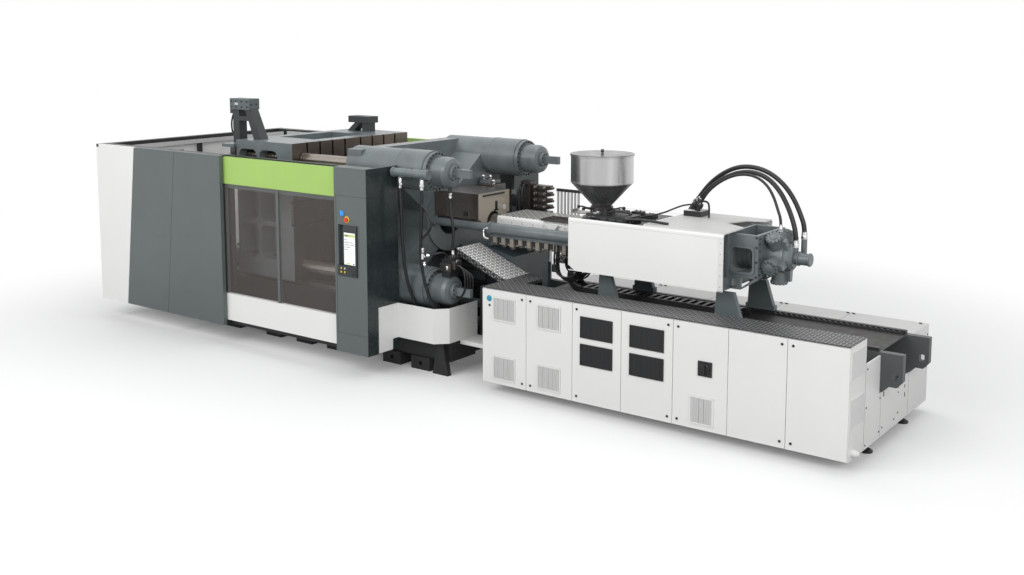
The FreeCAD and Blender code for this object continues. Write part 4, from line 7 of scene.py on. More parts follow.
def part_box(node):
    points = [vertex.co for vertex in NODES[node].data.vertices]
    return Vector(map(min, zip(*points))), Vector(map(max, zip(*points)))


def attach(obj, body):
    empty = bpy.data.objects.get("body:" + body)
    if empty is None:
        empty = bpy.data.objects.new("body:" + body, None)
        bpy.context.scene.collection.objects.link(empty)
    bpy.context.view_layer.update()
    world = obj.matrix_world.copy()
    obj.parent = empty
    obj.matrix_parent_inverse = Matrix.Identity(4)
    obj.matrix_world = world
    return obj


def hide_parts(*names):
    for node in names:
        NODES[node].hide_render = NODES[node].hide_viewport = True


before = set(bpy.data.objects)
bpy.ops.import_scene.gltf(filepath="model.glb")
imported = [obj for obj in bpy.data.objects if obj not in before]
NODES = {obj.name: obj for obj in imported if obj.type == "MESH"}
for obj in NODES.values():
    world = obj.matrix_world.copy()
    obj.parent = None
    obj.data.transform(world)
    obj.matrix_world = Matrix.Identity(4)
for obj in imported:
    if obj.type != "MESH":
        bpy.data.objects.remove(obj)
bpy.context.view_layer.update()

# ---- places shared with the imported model, in metres
AXIS_Z = 1.9275
BAR_Y, BAR_Z, BAR_R = 1.02, 0.7945, 0.09
BAR_PLACES = [(sy * BAR_Y, AXIS_Z + sz * BAR_Z) for sy in (-1, 1) for sz in (-1, 1)]
CAP_BOLT_CIRCLE = 0.241
DOOR_LEFT, DOOR_PITCH, DOOR_FACE = 1.182, 0.684, -1.417
SWITCH_X, SWITCH_Z = 4.325, 0.85
BASE_END = 5.97
HOPPER_X, MOTOR_X = 2.062, 4.555
TOWERS_LOW, TOWERS_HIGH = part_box("hose_towers")
RIGHT, FRONT, UP, DOWN = (1, 0, 0), (0, -1, 0), (0, 0, 1), (0, 0, -1)


# ---- camera
IMAGE_WIDTH = 1024
FOCAL_PIXELS = 1156.7
CAMERA_AT = Vector((10.0622, -12.732, 4.576))
CAMERA_AZIMUTH = 36.637
CAMERA_DOWN = 7.064
CAMERA_SHIFT = -0.11


def add_object(name, data):
    made = bpy.data.objects.new(name, data)
    bpy.context.scene.collection.objects.link(made)
    return made


def make_camera():
    data = bpy.data.cameras.new("camera")
    data.sensor_width = 36.0
    data.lens = FOCAL_PIXELS / IMAGE_WIDTH * data.sensor_width
    data.shift_y = CAMERA_SHIFT
    data.clip_end = 200.0
    camera = add_object("camera", data)
    camera.location = CAMERA_AT
    camera.rotation_euler = (math.radians(90 - CAMERA_DOWN), 0, math.radians(CAMERA_AZIMUTH))
    bpy.context.scene.camera = camera


# ---- materials
def srgb(colour):
    """Display values 0..255 as the linear colour that a shader takes."""
    def line(v):
        v /= 255.0
        return v / 12.92 if v <= 0.04045 else ((v + 0.055) / 1.055) ** 2.4
    return (*map(line, colour), 1.0)


class Nodes:
    """A node tree in which each node comes with its settings, values and links in one call."""

    def __init__(self, owner, clear=True):
        owner.use_nodes = True
        self.tree = owner.node_tree
        if clear:
            self.tree.nodes.clear()

    def add(self, kind, inputs, **settings):
        made = self.tree.nodes.new("ShaderNode" + kind)
        for key, value in settings.items():
            setattr(made, key, value)
        for key, value in inputs.items():
            self.put(made.inputs[key], value)
        return made.outputs

    def put(self, into, value):
        """Links a socket, or gives an input its value."""
        if isinstance(value, bpy.types.NodeSocket):
            self.tree.links.new(value, into)
        else:
            into.default_value = value

    def math(self, operation, a, b=0.5):
        return self.add("Math", {0: a, 1: b}, operation=operation)[0]


class Shader(Nodes):
    """A Principled material with a few helpers for its nodes."""

    def __init__(self, name, colour, roughness, metallic=0.0):
        self.material = bpy.data.materials.new(name)
        super().__init__(self.material, clear=False)
        self.main = self.tree.nodes["Principled BSDF"].inputs
        self.colour = srgb(colour)
        for key, value in (("Base Color", self.colour), ("Roughness", roughness), ("Metallic", metallic)):
            self.put(self.main[key], value)
        self.coords = self.add("TexCoord", {})["Object"]

    def noise(self, scale, detail, stretch=None):
        place = self.coords
        if stretch:
            place = self.add("Mapping", {"Scale": stretch, "Vector": place})["Vector"]
        return self.add("TexNoise", {"Scale": scale, "Detail": detail, "Vector": place})["Fac"]

    def ramp(self, out, low, high):
        return self.add("MapRange", {"From Min": 0.3, "From Max": 0.7, "To Min": low, "To Max": high,
                                     "Value": out})["Result"]

    def tint(self, factor, other):
        """Blends the base colour with another one."""
        mix = self.add("Mix", {"A": self.colour, "B": other, "Factor": factor}, data_type="RGBA")
        self.put(self.main["Base Color"], mix["Result"])

    def patches(self, scale, detail, share, stretch=None):
        """Broad patches where the colour is darker, down to a share of itself."""
        self.tint(self.ramp(self.noise(scale, detail, stretch), 0.0, 1.0),
                  (*(v * share for v in self.colour[:3]), 1.0))

    def rough(self, scale, detail, low, high, stretch=None):
        self.put(self.main["Roughness"], self.ramp(self.noise(scale, detail, stretch), low, high))

    def bump(self, out, depth, strength):
        self.put(self.main["Normal"],
                 self.add("Bump", {"Strength": strength, "Distance": depth, "Height": out})["Normal"])

    def grain(self, scale, detail, depth, strength, stretch=None):
        self.bump(self.noise(scale, detail, stretch), depth, strength)


def powder_coat(name, colour, roughness, dirt=0.93):
    """Sheet metal paint: a fine orange peel and faint broad changes of shade."""
    s = Shader(name, colour, roughness)
    s.patches(1.7, 5.0, dirt)
    s.rough(9.0, 3.0, roughness - 0.05, roughness + 0.06)
    s.grain(420.0, 2.0, 0.00012, 0.35)
    return s.material


def cast_paint(name, colour):
    """Paint on a rough casting: soft lumps, a sandy grain and darker patches."""
    s = Shader(name, colour, 0.36)
    s.patches(5.0, 6.0, 0.78)
    s.rough(22.0, 4.0, 0.28, 0.46)
    s.grain(70.0, 6.0, 0.0016, 0.5)
    s.put(s.main["Coat Weight"], 0.25)
    s.put(s.main["Coat Roughness"], 0.25)
    return s.material


def machined(name, colour, along=(1, 1, 1), roughness=0.3):
    """Bare steel with fine tool marks."""
    s = Shader(name, colour, roughness, 1.0)
    s.patches(3.0, 4.0, 0.75)
    s.rough(40.0, 5.0, roughness - 0.08, roughness + 0.12, along)
    s.grain(260.0, 3.0, 0.0002, 0.4, along)
    return s.material


def brushed(name, colour, metal=1.0):
    """Rolled stainless sheet, brushed round the drum; broad upright bands of darker colour are painted
    reflections, and the roughness changes in upright bands too.
    """
    s = Shader(name, colour, 0.24, metal)
    # Painted reflection: upright bands where the colour is darker.
    s.patches(5.0, 2.0, 0.66, (1, 1, 0.05))
    s.rough(7.0, 3.0, 0.2, 0.32, (1, 1, 0.1))
    s.grain(30.0, 2.0, 0.00004, 0.25, (0.2, 0.2, 22.0))
    return s.material


def chrome(name, colour=(214, 214, 214)):
    s = Shader(name, colour, 0.12, 1.0)
    s.rough(30.0, 3.0, 0.07, 0.18)
    return s.material


def rubber(name):
    s = Shader(name, (25, 25, 27), 0.42)
    s.rough(90.0, 3.0, 0.34, 0.5)
    s.grain(900.0, 2.0, 0.0002, 0.3)
    return s.material


def plastic(name, colour, roughness):
    s = Shader(name, colour, roughness)
    s.rough(160.0, 2.0, roughness - 0.04, roughness + 0.06)
    s.grain(1400.0, 2.0, 0.0001, 0.3)
    return s.material


def smoky_sheet(name, colour, cover):
    """Tinted clear sheet: it veils what stands behind it and keeps a gloss."""
    s = Shader(name, colour, 0.06)
    s.put(s.main["Alpha"], cover)
    s.rough(2.5, 3.0, 0.04, 0.09)
    return s.material


def chequer(name, ground, raised, pitch):
    """Tread plate: short raised bars that stand across each other in turn; the bars are painted lighter than
    the ground, a painted highlight on them and painted shade round them.
    """
    bar_half_length, bar_half_width = 0.74, 0.26
    s = Shader(name, ground, 0.42, 0.35)
    x, y, z = s.add("SeparateXYZ", {0: s.coords})
    lean = s.math("SUBTRACT", y, z)
    u, v = s.math("DIVIDE", x, pitch), s.math("DIVIDE", lean, pitch)
    odd = s.math("FLOORED_MODULO", s.math("ADD", s.math("FLOOR", u), s.math("FLOOR", v)), 2.0)
    turn = s.math("SUBTRACT", s.math("MULTIPLY", odd, 2.0), 1.0)
    du, dv = (s.math("SUBTRACT", s.math("FRACT", w), 0.5) for w in (u, v))
    dv = s.math("MULTIPLY", dv, turn)
    along = s.math("DIVIDE", s.math("ADD", du, dv), bar_half_length)
    across = s.math("DIVIDE", s.math("SUBTRACT", du, dv), bar_half_width)
    squares = (s.math("MULTIPLY", w, w) for w in (along, across))
    far = s.math("SQRT", s.math("ADD", *squares))
    bar = s.add("MapRange", {"From Min": 1.1, "From Max": 0.75, "Value": far})["Result"]
    # Painted highlight: the raised bars take the lighter colour.
    s.tint(bar, srgb(raised))
    s.put(s.main["Roughness"], s.math("SUBTRACT", 0.46, s.math("MULTIPLY", bar, 0.16)))
    s.bump(bar, 0.0015, 0.6)
    return s.material


def lamp_face(name, colour, strength):
    s = Shader(name, colour, 0.25)
    s.put(s.main["Emission Color"], s.colour)
    s.put(s.main["Emission Strength"], strength)
    s.rough(50.0, 2.0, 0.2, 0.3)
    return s.material


WHITE = powder_coat("white_paint", (240, 240, 238), 0.4, 0.97)
# Painted shade: a grey copy of the white paint for the upward faces of the rear cabinet and the unit covers,
# which the light from the front leaves dimmer.
TOP_FACE_SHADE_WHITE = powder_coat("roof_painted_shade", (204, 204, 202), 0.46, 0.97)
# Painted light: a brighter copy of the white paint for the guard panels, the gate frames and the unit covers'
# front and rear faces, standing for the stronger light on them.
LIT_COVER_WHITE = powder_coat("cover_painted_light", (250, 250, 248), 0.38, 0.98)
VENT_WHITE = powder_coat("vent_paint", (204, 204, 203), 0.5, 0.96)
GREY = powder_coat("grey_paint", (100, 107, 107), 0.4)
DARK = powder_coat("dark_side", (46, 54, 55), 0.26)
GREEN = powder_coat("green_paint", (176, 213, 114), 0.4, 0.95)
BLACK = powder_coat("black_paint", (42, 43, 44), 0.42, 0.8)
BEAM = powder_coat("beam_paint", (84, 87, 88), 0.45, 0.85)
LEG = powder_coat("leg_paint", (98, 107, 109), 0.4, 0.88)
TOWER = powder_coat("tower_paint", (52, 56, 58), 0.42, 0.85)
TRAY = powder_coat("tray_paint", (36, 33, 31), 0.5, 0.8)
# Painted light: a lighter copy of the vent paint for the vents on the end of the base, which stands in shade.
END_VENT_LIT = powder_coat("end_vent_painted_light", (230, 230, 229), 0.5, 0.97)
CHUTE = powder_coat("chute_paint", (48, 58, 64), 0.32, 0.85)
CAST = cast_paint("cast_paint", (114, 122, 124))
STEEL = machined("machined_steel", (150, 148, 145), (1, 1, 12))
BROWN_STEEL = machined("mould_face_steel", (122, 112, 106), (1, 1, 9), 0.42)
BAR_STEEL = machined("tie_bar_steel", (172, 164, 156), (14, 1, 1), 0.27)
STAINLESS = brushed("stainless", (206, 205, 205))
LID_STEEL = brushed("lid_steel", (138, 137, 138))
# Painted shade: a darker, less metallic copy of the stainless steel for the hopper's downward faces.
CONE_SHADE_STEEL = brushed("cone_painted_shade", (150, 150, 150), 0.72)
DECK = chequer("deck_plate", (56, 56, 57), (146, 147, 148), 0.048)
WALKWAY = chequer("walkway_plate", (120, 119, 116), (236, 235, 232), 0.056)
RAMP = chequer("ramp_plate", (158, 158, 157), (255, 255, 254), 0.054)
CHROME = chrome("chrome")
RUBBER = rubber("hose_rubber")
SMOKY = smoky_sheet("smoky_window", (146, 138, 134), 0.16)
SMOKY_REAR = smoky_sheet("rear_window", (78, 74, 71), 0.8)
VALVE_STEEL = machined("valve_steel", (126, 119, 113), (1, 1, 1), 0.42)
AMBER = smoky_sheet("purge_window", (182, 173, 158), 0.86)
AMBER_DARK = smoky_sheet("purge_front", (98, 90, 83), 0.8)
BEIGE = powder_coat("beige_block", (146, 139, 129), 0.5, 0.8)
DARK_CAST = cast_paint("dark_cast", (58, 54, 52))
WHITE_METAL = chrome("plated_fitting", (238, 238, 238))
UNIT_GREY = plastic("operator_unit", (52, 55, 58), 0.4)
BLACK_PLASTIC = plastic("black_plastic", (30, 31, 33), 0.38)
RED = plastic("red_plastic", (226, 74, 34), 0.28)
BLUE = lamp_face("blue_button", (40, 130, 235), 0.6)
CYAN = plastic("cyan_dot", (44, 152, 178), 0.35)
YELLOW = plastic("yellow_key", (226, 200, 60), 0.35)
LIGHT_KEY = plastic("light_key", (210, 212, 214), 0.35)
SCREEN = lamp_face("screen_face", (244, 246, 244), 0.25)
SCREEN_GREEN = lamp_face("screen_green", (196, 214, 130), 0.2)
SCREEN_GREY = lamp_face("screen_grey", (128, 132, 134), 0.1)

NODE_MATERIAL = (
    (BLACK, "clamp_bed guard_frame levelling_feet hydraulic_blocks"),
    (STEEL, "guide_rails lock_halves_front lock_halves_rear ejector barrel shutoff_slide screw"),
    (STEEL, "drive_spindle"),
    (CAST, "stationary_platen clamp_cylinders cylinder_caps hydraulic_cylinders moving_platen"),
    (CAST, "drive_housing piston_motor"),
    (BAR_STEEL, "tie_bars"),
    # Painted light: guard panels and gate frames take the brighter copy of the white.
    (LIT_COVER_WHITE, "guard_panels front_gate_frame rear_gate_frame"),
    (GREY, "grey_panels control_column"),
    (UNIT_GREY, "operator_panel"),
    (DECK, "tread_plates"),
    (BEAM, "base_beams"),
    (AMBER, "purge_guard"),
    (TOWER, "hose_towers"),
    (LEG, "carriage_frame"),
    (STAINLESS, "hopper"),
    (LID_STEEL, "hopper_lid"),
    (RED, "stop_button"),
    (BLUE, "start_button"),
    (BLACK_PLASTIC, "switch_handle"),
    (SMOKY, "front_gate_window"),
    (SMOKY_REAR, "rear_gate_window"),
    (GREEN, "front_gate_band rear_gate_band"),
    (YELLOW, "panel_key_1 panel_key_3 panel_key_4"),
    (LIGHT_KEY, "panel_key_2"),
)


def is_vent(c, n):
    return c.y < -1.4175 and abs(c.y + 1.422) > 0.0002 and n.y < 0.5 and not is_latch(c, n)


def is_latch(c, n):
    near_end = min(abs((c.x - DOOR_LEFT) % DOOR_PITCH - at) for at in (0.063, 0.621)) < 0.017
    return near_end and c.y < -1.4172 and min(abs(c.z - 1.282), abs(c.z - 0.212)) < 0.017


def is_cap_bolt(c, n):
    off_circle = min(abs(math.hypot(c.y - y, c.z - z) - CAP_BOLT_CIRCLE) for y, z in BAR_PLACES)
    return off_circle < 0.0125 and 0.1201 < c.x < 0.14


def doors(*numbers):
    return " ".join("cabinet_door_%d" % number for number in numbers)


# Faces that take another material: the nodes, the material, and a test of a face's middle c and normal n.
# Where two tests pick the same face, the later one counts.
REPAINTS = (
    ("front_gate_frame rear_gate_frame", GREY, lambda c, n: c.z > 0.7701),
    ("front_gate_frame rear_gate_frame", BLACK, lambda c, n: abs(c.y) < 1.812),
    ("control_column", DARK, lambda c, n: c.x > -0.42 and n.x > 0.5),
    ("stationary_platen", BROWN_STEEL, lambda c, n: c.x < -1.28),
    ("moving_platen", BROWN_STEEL, lambda c, n: c.x > -2.51 and abs(c.z - AXIS_Z) < 1.02),
    (doors(1, 2, 5), VENT_WHITE, is_vent),
    (doors(3, 4), BLACK_PLASTIC, is_vent),
    (doors(*range(1, 8)), BLACK_PLASTIC, is_latch),
    (doors(5), BLACK_PLASTIC,
     lambda c, n: abs(c.x - SWITCH_X) < 0.09 and abs(c.z - SWITCH_Z) < 0.09 and c.y < -1.4175),
    ("purge_guard", AMBER_DARK, lambda c, n: n.y < -0.5),
    # Painted shade: the guard's top faces are painted dark brown for the platen's shadow over them.
    ("purge_guard", DARK_CAST, lambda c, n: n.z > 0.5),
    # Painted shade: the rear cabinet's top painted grey.
    ("base_cabinets", TOP_FACE_SHADE_WHITE, lambda c, n: c.y > 0.45 and n.z > 0.7),
    # Painted light: the unit covers' front and rear faces take the brighter copy of the white.
    ("unit_covers", LIT_COVER_WHITE, lambda c, n: abs(n.y) > 0.8 and c.x > 1.99),
    ("unit_covers", BLACK_PLASTIC, lambda c, n: 3.1 < c.x < 3.4 and 0.24 < c.y < 0.51 and c.z > 2.2505),
    ("hose_towers", LEG, lambda c, n: c.z > 3.4001 or (c.y > 0 and c.z > TOWERS_HIGH[2] - 0.3)),
    ("tread_plates", RAMP,
     lambda c, n: c.x < 1.18 and c.y < -0.38 and c.z > 0.95 and (n.z > 0.2 or n.x < -0.2)),
    # Painted shade: the unit covers' roof painted grey.
    ("unit_covers", TOP_FACE_SHADE_WHITE, lambda c, n: c.x > 2.5 and c.z > 2.2 and n.z > 0.6),
    ("unit_covers", WALKWAY, lambda c, n: c.x < 1.87 and n.z > 0.9 and c.z > 2.0),
    ("cylinder_caps", DARK_CAST, is_cap_bolt),
    ("carriage_frame", BLACK, lambda c, n: 1.5 < c.x < 4.11 and -0.03 < c.y < 0.23 and c.z < 1.5201),
    ("carriage_frame", BLACK_PLASTIC, lambda c, n: c.z > 2.17),
    ("guide_rails", BLACK, lambda c, n: c.x > 1.2),
    ("base_beams", TRAY,
     lambda c, n: c.x > 1.6 and abs(c.y) < 0.395 and 1.0 < c.z < 1.1101 and abs(n.z) > 0.9),
    ("base_beams", CHUTE, lambda c, n: 1.39 < c.x < 1.5 and c.z > 1.1101),
    ("hydraulic_blocks", CHUTE, lambda c, n: 0.44 < c.x < 0.96 and abs(c.y) < 0.45),
    ("hydraulic_blocks", DARK_CAST, lambda c, n: c.y > 0.69),
    ("guard_frame", VENT_WHITE, lambda c, n: c.x > 0.75 and 2.05 < c.z < 2.31 and c.y > 0.79),
    ("barrel", DARK_CAST, lambda c, n: c.x > 1.88 and c.z > 2.05),
    # Painted shade: the hopper's downward faces take the darker steel.
    ("hopper", CONE_SHADE_STEEL, lambda c, n: n.z < -0.3),
)


def dress_nodes():
    chosen = {node: material for material, nodes in NODE_MATERIAL for node in nodes.split()}
    for node in NODES:
        NODES[node].data.materials.clear()
        NODES[node].data.materials.append(chosen.get(node, WHITE))
    for nodes, material, test in REPAINTS:
        for mesh in (NODES[node].data for node in nodes.split()):
            mesh.materials.append(material)
            for face in mesh.polygons:
                if test(face.center, face.normal):
                    face.material_index = len(mesh.materials) - 1


# ---- stage
FLOOR_HALF, FADE_START, FADE_END = 60.0, 6.0, 10.5
# As the camera sees it, and as it gives light back.
FLOOR_SEEN, FLOOR_BOUNCED = (0.95, 0.95, 0.95, 1), (0.42, 0.42, 0.42, 1)


def make_stage():
    """A floor that shades like grey paper near the machine and fades into the white background."""
    mesh = bpy.data.meshes.new("floor")
    corners = [(x * FLOOR_HALF, y * FLOOR_HALF, 0) for x, y in ((-1, -1), (1, -1), (1, 1), (-1, 1))]
    mesh.from_pydata(corners, [], [range(4)])
    floor = add_object("floor", mesh)
    material = bpy.data.materials.new("floor")
    nodes = Nodes(material)
    seen = nodes.add("BsdfDiffuse", {"Color": FLOOR_SEEN})[0]
    bounced = nodes.add("BsdfDiffuse", {"Color": FLOOR_BOUNCED})[0]
    ray = nodes.add("LightPath", {})
    paper = nodes.add("MixShader", {"Fac": ray["Is Camera Ray"], 1: bounced, 2: seen})[0]
    both = nodes.math("MAXIMUM", ray["Is Camera Ray"], ray["Is Glossy Ray"])
    far = nodes.add("VectorMath", {0: nodes.add("TexCoord", {})["Object"]}, operation="LENGTH")["Value"]
    fade = nodes.add("MapRange", {"From Min": FADE_START, "From Max": FADE_END, "To Min": 0.1, "Value": far},
                     interpolation_type="SMOOTHSTEP")["Result"]
    reach = nodes.math("MULTIPLY", fade, both)
    white = nodes.add("Emission", {})[0]
    mix = nodes.add("MixShader", {"Fac": reach, 1: paper, 2: white})[0]
    nodes.add("OutputMaterial", {"Surface": mix})
    mesh.materials.append(material)


def make_world():
    """White as the camera and glossy surfaces see it, a soft dim sky for the light."""
    world = bpy.data.worlds.new("studio")
    bpy.context.scene.world = world
    nodes = Nodes(world)
    seen = nodes.add("Background", {"Color": (1, 1, 1, 1), "Strength": 1.0})[0]
    lit = nodes.add("Background", {"Color": (0.98, 0.99, 1.0, 1), "Strength": 0.5})[0]
    ray = nodes.add("LightPath", {})
    straight = nodes.math("MAXIMUM", ray["Is Camera Ray"], ray["Is Glossy Ray"])
    shown = nodes.math("MAXIMUM", straight, ray["Is Transmission Ray"])
    mix = nodes.add("MixShader", {"Fac": shown, 1: lit, 2: seen})[0]
    nodes.add("OutputWorld", {"Surface": mix})


def area_lamp(name, at, towards, size, power):
    data = bpy.data.lights.new(name, "AREA")
    data.shape = "RECTANGLE"
    data.size, data.size_y = size
    data.energy = power
    lamp = add_object(name, data)
    lamp.location = at
    lamp.rotation_euler = (Vector(towards) - Vector(at)).to_track_quat("-Z", "Y").to_euler()


def make_lights():
    area_lamp("key", (-3, -14, 10), (0, -1, 1), (14, 8), 1200)
    area_lamp("front_right", (14, -8, 7), (3, -1, 1), (8, 6), 620)
    area_lamp("top", (1, 3, 13), (1, 0, 0), (14, 8), 520)


# ---- mesh helpers
def circle(count, radius=1.0, offset=0.0):
    """Places spread evenly round a circle; an offset of 0.5 starts half a step on."""
    turns = [2 * math.pi * (i + offset) / count for i in range(count)]
    return [(radius * math.cos(turn), radius * math.sin(turn)) for turn in turns]


def smooth_path(points, steps):
    """A Catmull-Rom line through a few given points."""
    points = [Vector(p) for p in points]
    points = [points[0] * 2 - points[1]] + points + [points[-1] * 2 - points[-2]]
    line = []
    for a, b, c, d in zip(points, points[1:], points[2:], points[3:]):
        for i in range(steps):
            t = i / steps
            line.append(0.5 * ((2 * b) + (c - a) * t + (2 * a - 5 * b + 4 * c - d) * t * t
                               + (3 * b - a - 3 * c + d) * t ** 3))
    line.append(points[-2])
    return line


def disc(radius, long, *rim):
    """The profile of a round plate; further points (along, radius) shape its far edge."""
    return [(0, radius), (long, radius), *rim]


class Form:
    """An index says which of the piece's materials a solid has.
    """

    def __init__(self):
        self.bm = bmesh.new()

    def finish(self, name, body, slot, *materials, smooth=None):
        """The piece rides on a body; smooth is an angle in degrees."""
        mesh = bpy.data.meshes.new(name)
        bmesh.ops.recalc_face_normals(self.bm, faces=self.bm.faces)
        self.bm.to_mesh(mesh)
        self.bm.free()
        for material in materials:
            mesh.materials.append(material)
        if smooth:
            mesh.shade_smooth()
            mesh.set_sharp_from_angle(angle=math.radians(smooth))
        piece = add_object(name, mesh)
        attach(piece, body)
        return piece

    def box(self, low, high, bevel=0.0, index=0):
        verts = bmesh.ops.create_cube(self.bm, size=1.0)["verts"]
        low, high = Vector(low), Vector(high)
        middle, size = (low + high) / 2, high - low
        for v in verts:
            v.co = middle + v.co * size
        for f in {f for v in verts for f in v.link_faces}:
            f.material_index = index
        if bevel:
            edges = list({e for v in verts for e in v.link_edges})
            bmesh.ops.bevel(self.bm, geom=edges, offset=bevel, segments=2, profile=0.7, affect="EDGES")

    def skin(self, rings, index):
        """Joins rings of points into a closed solid; a ring may be a single point."""
        rings = [[self.bm.verts.new(p) for p in ring] for ring in rings]
        faces = []
        for a, b in zip(rings, rings[1:]):
            count = max(len(a), len(b))
            for i, j in zip(range(count), [*range(1, count), 0]):
                faces.append(dict.fromkeys((a[i % len(a)], b[i % len(b)], b[j % len(b)], a[j % len(a)])))
        for face in faces + [ring for ring in (rings[0], rings[-1]) if len(ring) > 1]:
            self.bm.faces.new(tuple(face)).material_index = index

    def turned(self, profile, at, axis, segments=32, index=0):
        """A turned solid: profile points (along, radius) round an axis."""
        place = Matrix.Translation(Vector(at)) @ Vector(axis).to_track_quat("Z", "Y").to_matrix().to_4x4()
        rings = []
        for along, radius in profile:
            places = circle(segments, radius) if radius else [(0, 0)]
            rings.append([place @ Vector((x, y, along)) for x, y in places])
        self.skin(rings, index)

    def tube(self, points, radius, segments=12, index=0):
        """A round tube along a polyline whose corners are already smooth."""
        rings, across = [], None
        for i, p in enumerate(points):
            along = (points[min(i + 1, len(points) - 1)] - points[max(i - 1, 0)]).normalized()
            across = across or along.orthogonal().normalized()
            across = (across - along * across.dot(along)).normalized()
            other = along.cross(across)
            rings.append([p + radius * (across * x + other * y) for x, y in circle(segments)])
        self.skin(rings, index)

    def bolt(self, at, axis, radius, height, index=0, socket=True):
        """A round cap screw with a socket in its head."""
        profile = [(0, radius), (height * 0.85, radius), (height, radius * 0.88)]
        if socket:
            profile += [(height, radius * 0.5), (height * 0.45, radius * 0.5), (height * 0.45, 0)]
        else:
            profile += [(height, 0)]
        self.turned(profile, at, axis, 12, index)

    def bolts(self, xs, ys, zs, *look):
        """A cap screw at every mix of the given places; look is its axis, radius, height and so on."""
        for at in ((x, y, z) for x in xs for y in ys for z in zs):
            self.bolt(at, *look)

    def pipe(self, route, radius, index=0, steps=6, segments=12):
        self.tube(smooth_path(route, steps), radius, segments, index)

    def nut(self, at, axis, radius, long, index=0):
        profile = [(0, radius * 0.92), (long * 0.1, radius), (long * 0.9, radius), (long, radius * 0.92)]
        self.turned(profile, at, axis, 6, index)

    def fitting(self, at, axis, radius, long, index=0):
        """A screwed fitting: hexagon, waist and union nut."""
        at, along = Vector(at), Vector(axis).normalized() * long
        self.nut(at, along, radius * 1.5, long * 0.3, index)
        self.turned([(0, radius), (long * 0.3, radius * 1.05)], at + along * 0.28, along, 16, index)
        self.nut(at + along * 0.5, along, radius * 1.4, long * 0.34, index)
        self.turned([(0, radius * 1.1), (long * 0.2, radius * 0.9)], at + along * 0.82, along, 16, index)

    def ferrule(self, start, towards, radius, long, reach):
        """A crimped sleeve over a hose's end, and the hexagon nut behind it."""
        along = (Vector(towards) - Vector(start)).normalized()
        profile = [(-reach, radius), (-reach, radius * 1.32), (0, radius * 1.32)]
        for i in range(4):
            x = long * (0.2 + 0.18 * i)
            profile += [(x, radius * 1.24), (x + long * 0.05, radius * 1.18), (x + long * 0.1, radius * 1.24)]
        profile += [(long, radius * 1.2), (long, radius)]
        self.turned(profile, start, along, 24)
        self.turned([(-reach * 1.6, radius * 1.5), (-reach * 0.4, radius * 1.5)], start, along, 6)

    def frame(self, x, z, wide, tall, front, back, edge, index=0, bevel=0.002):
        """A rectangular frame of four bars standing on a door."""
        left, right, top = x - wide / 2, x + wide / 2, z + tall
        self.box((left, front, z), (right, back, z + edge), bevel, index)
        self.box((left, front, top - edge), (right, back, top), bevel, index)
        self.box((left, front, z + edge), (left + edge, back, top - edge), bevel, index)
        self.box((right - edge, front, z + edge), (right, back, top - edge), bevel, index)

    def slats(self, x, z, wide, tall, front, deep, pitch, thick, lean, index=0):
        """Fine upright slats, each turned a little, between a left and a right edge."""
        count = int(wide / pitch)
        left, half = x - count * pitch / 2, thick / 2
        outline = ((-half - lean, 0), (half - lean, 0), (half + lean, deep), (-half + lean, deep))
        for i in range(count):
            middle = left + (i + 0.5) * pitch
            places = [(middle + dx, front + dy) for dx, dy in outline]
            self.skin([[(*place, end) for place in places] for end in (z, z + tall)], index)


# ---- tie bars and their grooves
BAR_LEFT, BAR_RIGHT = -3.9, -0.365
GROOVE_FIRST, GROOVE_PITCH, GROOVE_COUNT = -3.841, 0.056, 28
GROOVE_WIDE, GROOVE_DEEP, GROOVE_LIP = 0.026, 0.01, 0.002


def make_tie_bars():
    form = Form()
    floor = BAR_R - GROOVE_DEEP
    profile = [(BAR_LEFT, BAR_R - 0.012), (BAR_LEFT + 0.012, BAR_R)]
    for i in range(GROOVE_COUNT):
        x = GROOVE_FIRST + i * GROOVE_PITCH
        end = x + GROOVE_WIDE
        profile += [(x, BAR_R), (x + GROOVE_LIP, floor), (end - GROOVE_LIP, floor), (end, BAR_R)]
    profile.append((BAR_RIGHT, BAR_R))
    for y, z in BAR_PLACES:
        form.turned(profile, (0, y, z), RIGHT, 64)
    bars = form.finish("grooved_tie_bars", "root", "chrome", BAR_STEEL, smooth=35)
    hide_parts("tie_bars")


# ---- hoses
MOTOR_HOSE_RADII = (0.017, 0.029, 0.029)
MOTOR_HOSE_ROUTES = (
    ((3.33, 0.3, 2.4), (3.425, 0.272, 2.545), (3.555, 0.235, 2.665), (3.715, 0.188, 2.765),
     (3.89, 0.133, 2.838), (4.07, 0.078, 2.866), (4.24, 0.025, 2.845), (4.385, -0.024, 2.765),
     (4.485, -0.06, 2.64), (4.552, -0.084, 2.49), (4.6, -0.1, 2.385), (4.6, -0.1, 2.275)),
    ((3.297, 0.375, 2.459), (3.4, 0.349, 2.58), (3.547, 0.31, 2.698), (3.725, 0.265, 2.8),
     (3.93, 0.213, 2.872), (4.144, 0.156, 2.89), (4.345, 0.104, 2.83), (4.5, 0.064, 2.705),
     (4.612, 0.035, 2.55), (4.695, 0.015, 2.38), (4.75, 0.0, 2.215), (4.75, 0.0, 2.09)),
    ((3.213, 0.447, 2.427), (3.32, 0.426, 2.57), (3.465, 0.397, 2.715), (3.64, 0.361, 2.835),
     (3.83, 0.322, 2.915), (4.017, 0.284, 2.938), (4.2, 0.247, 2.918), (4.375, 0.212, 2.85),
     (4.535, 0.178, 2.735), (4.655, 0.155, 2.59), (4.742, 0.137, 2.43), (4.802, 0.124, 2.29),
     (4.802, 0.124, 2.18)),
)
PLATEN_HOSE_RADII = (0.022, 0.022, 0.019)
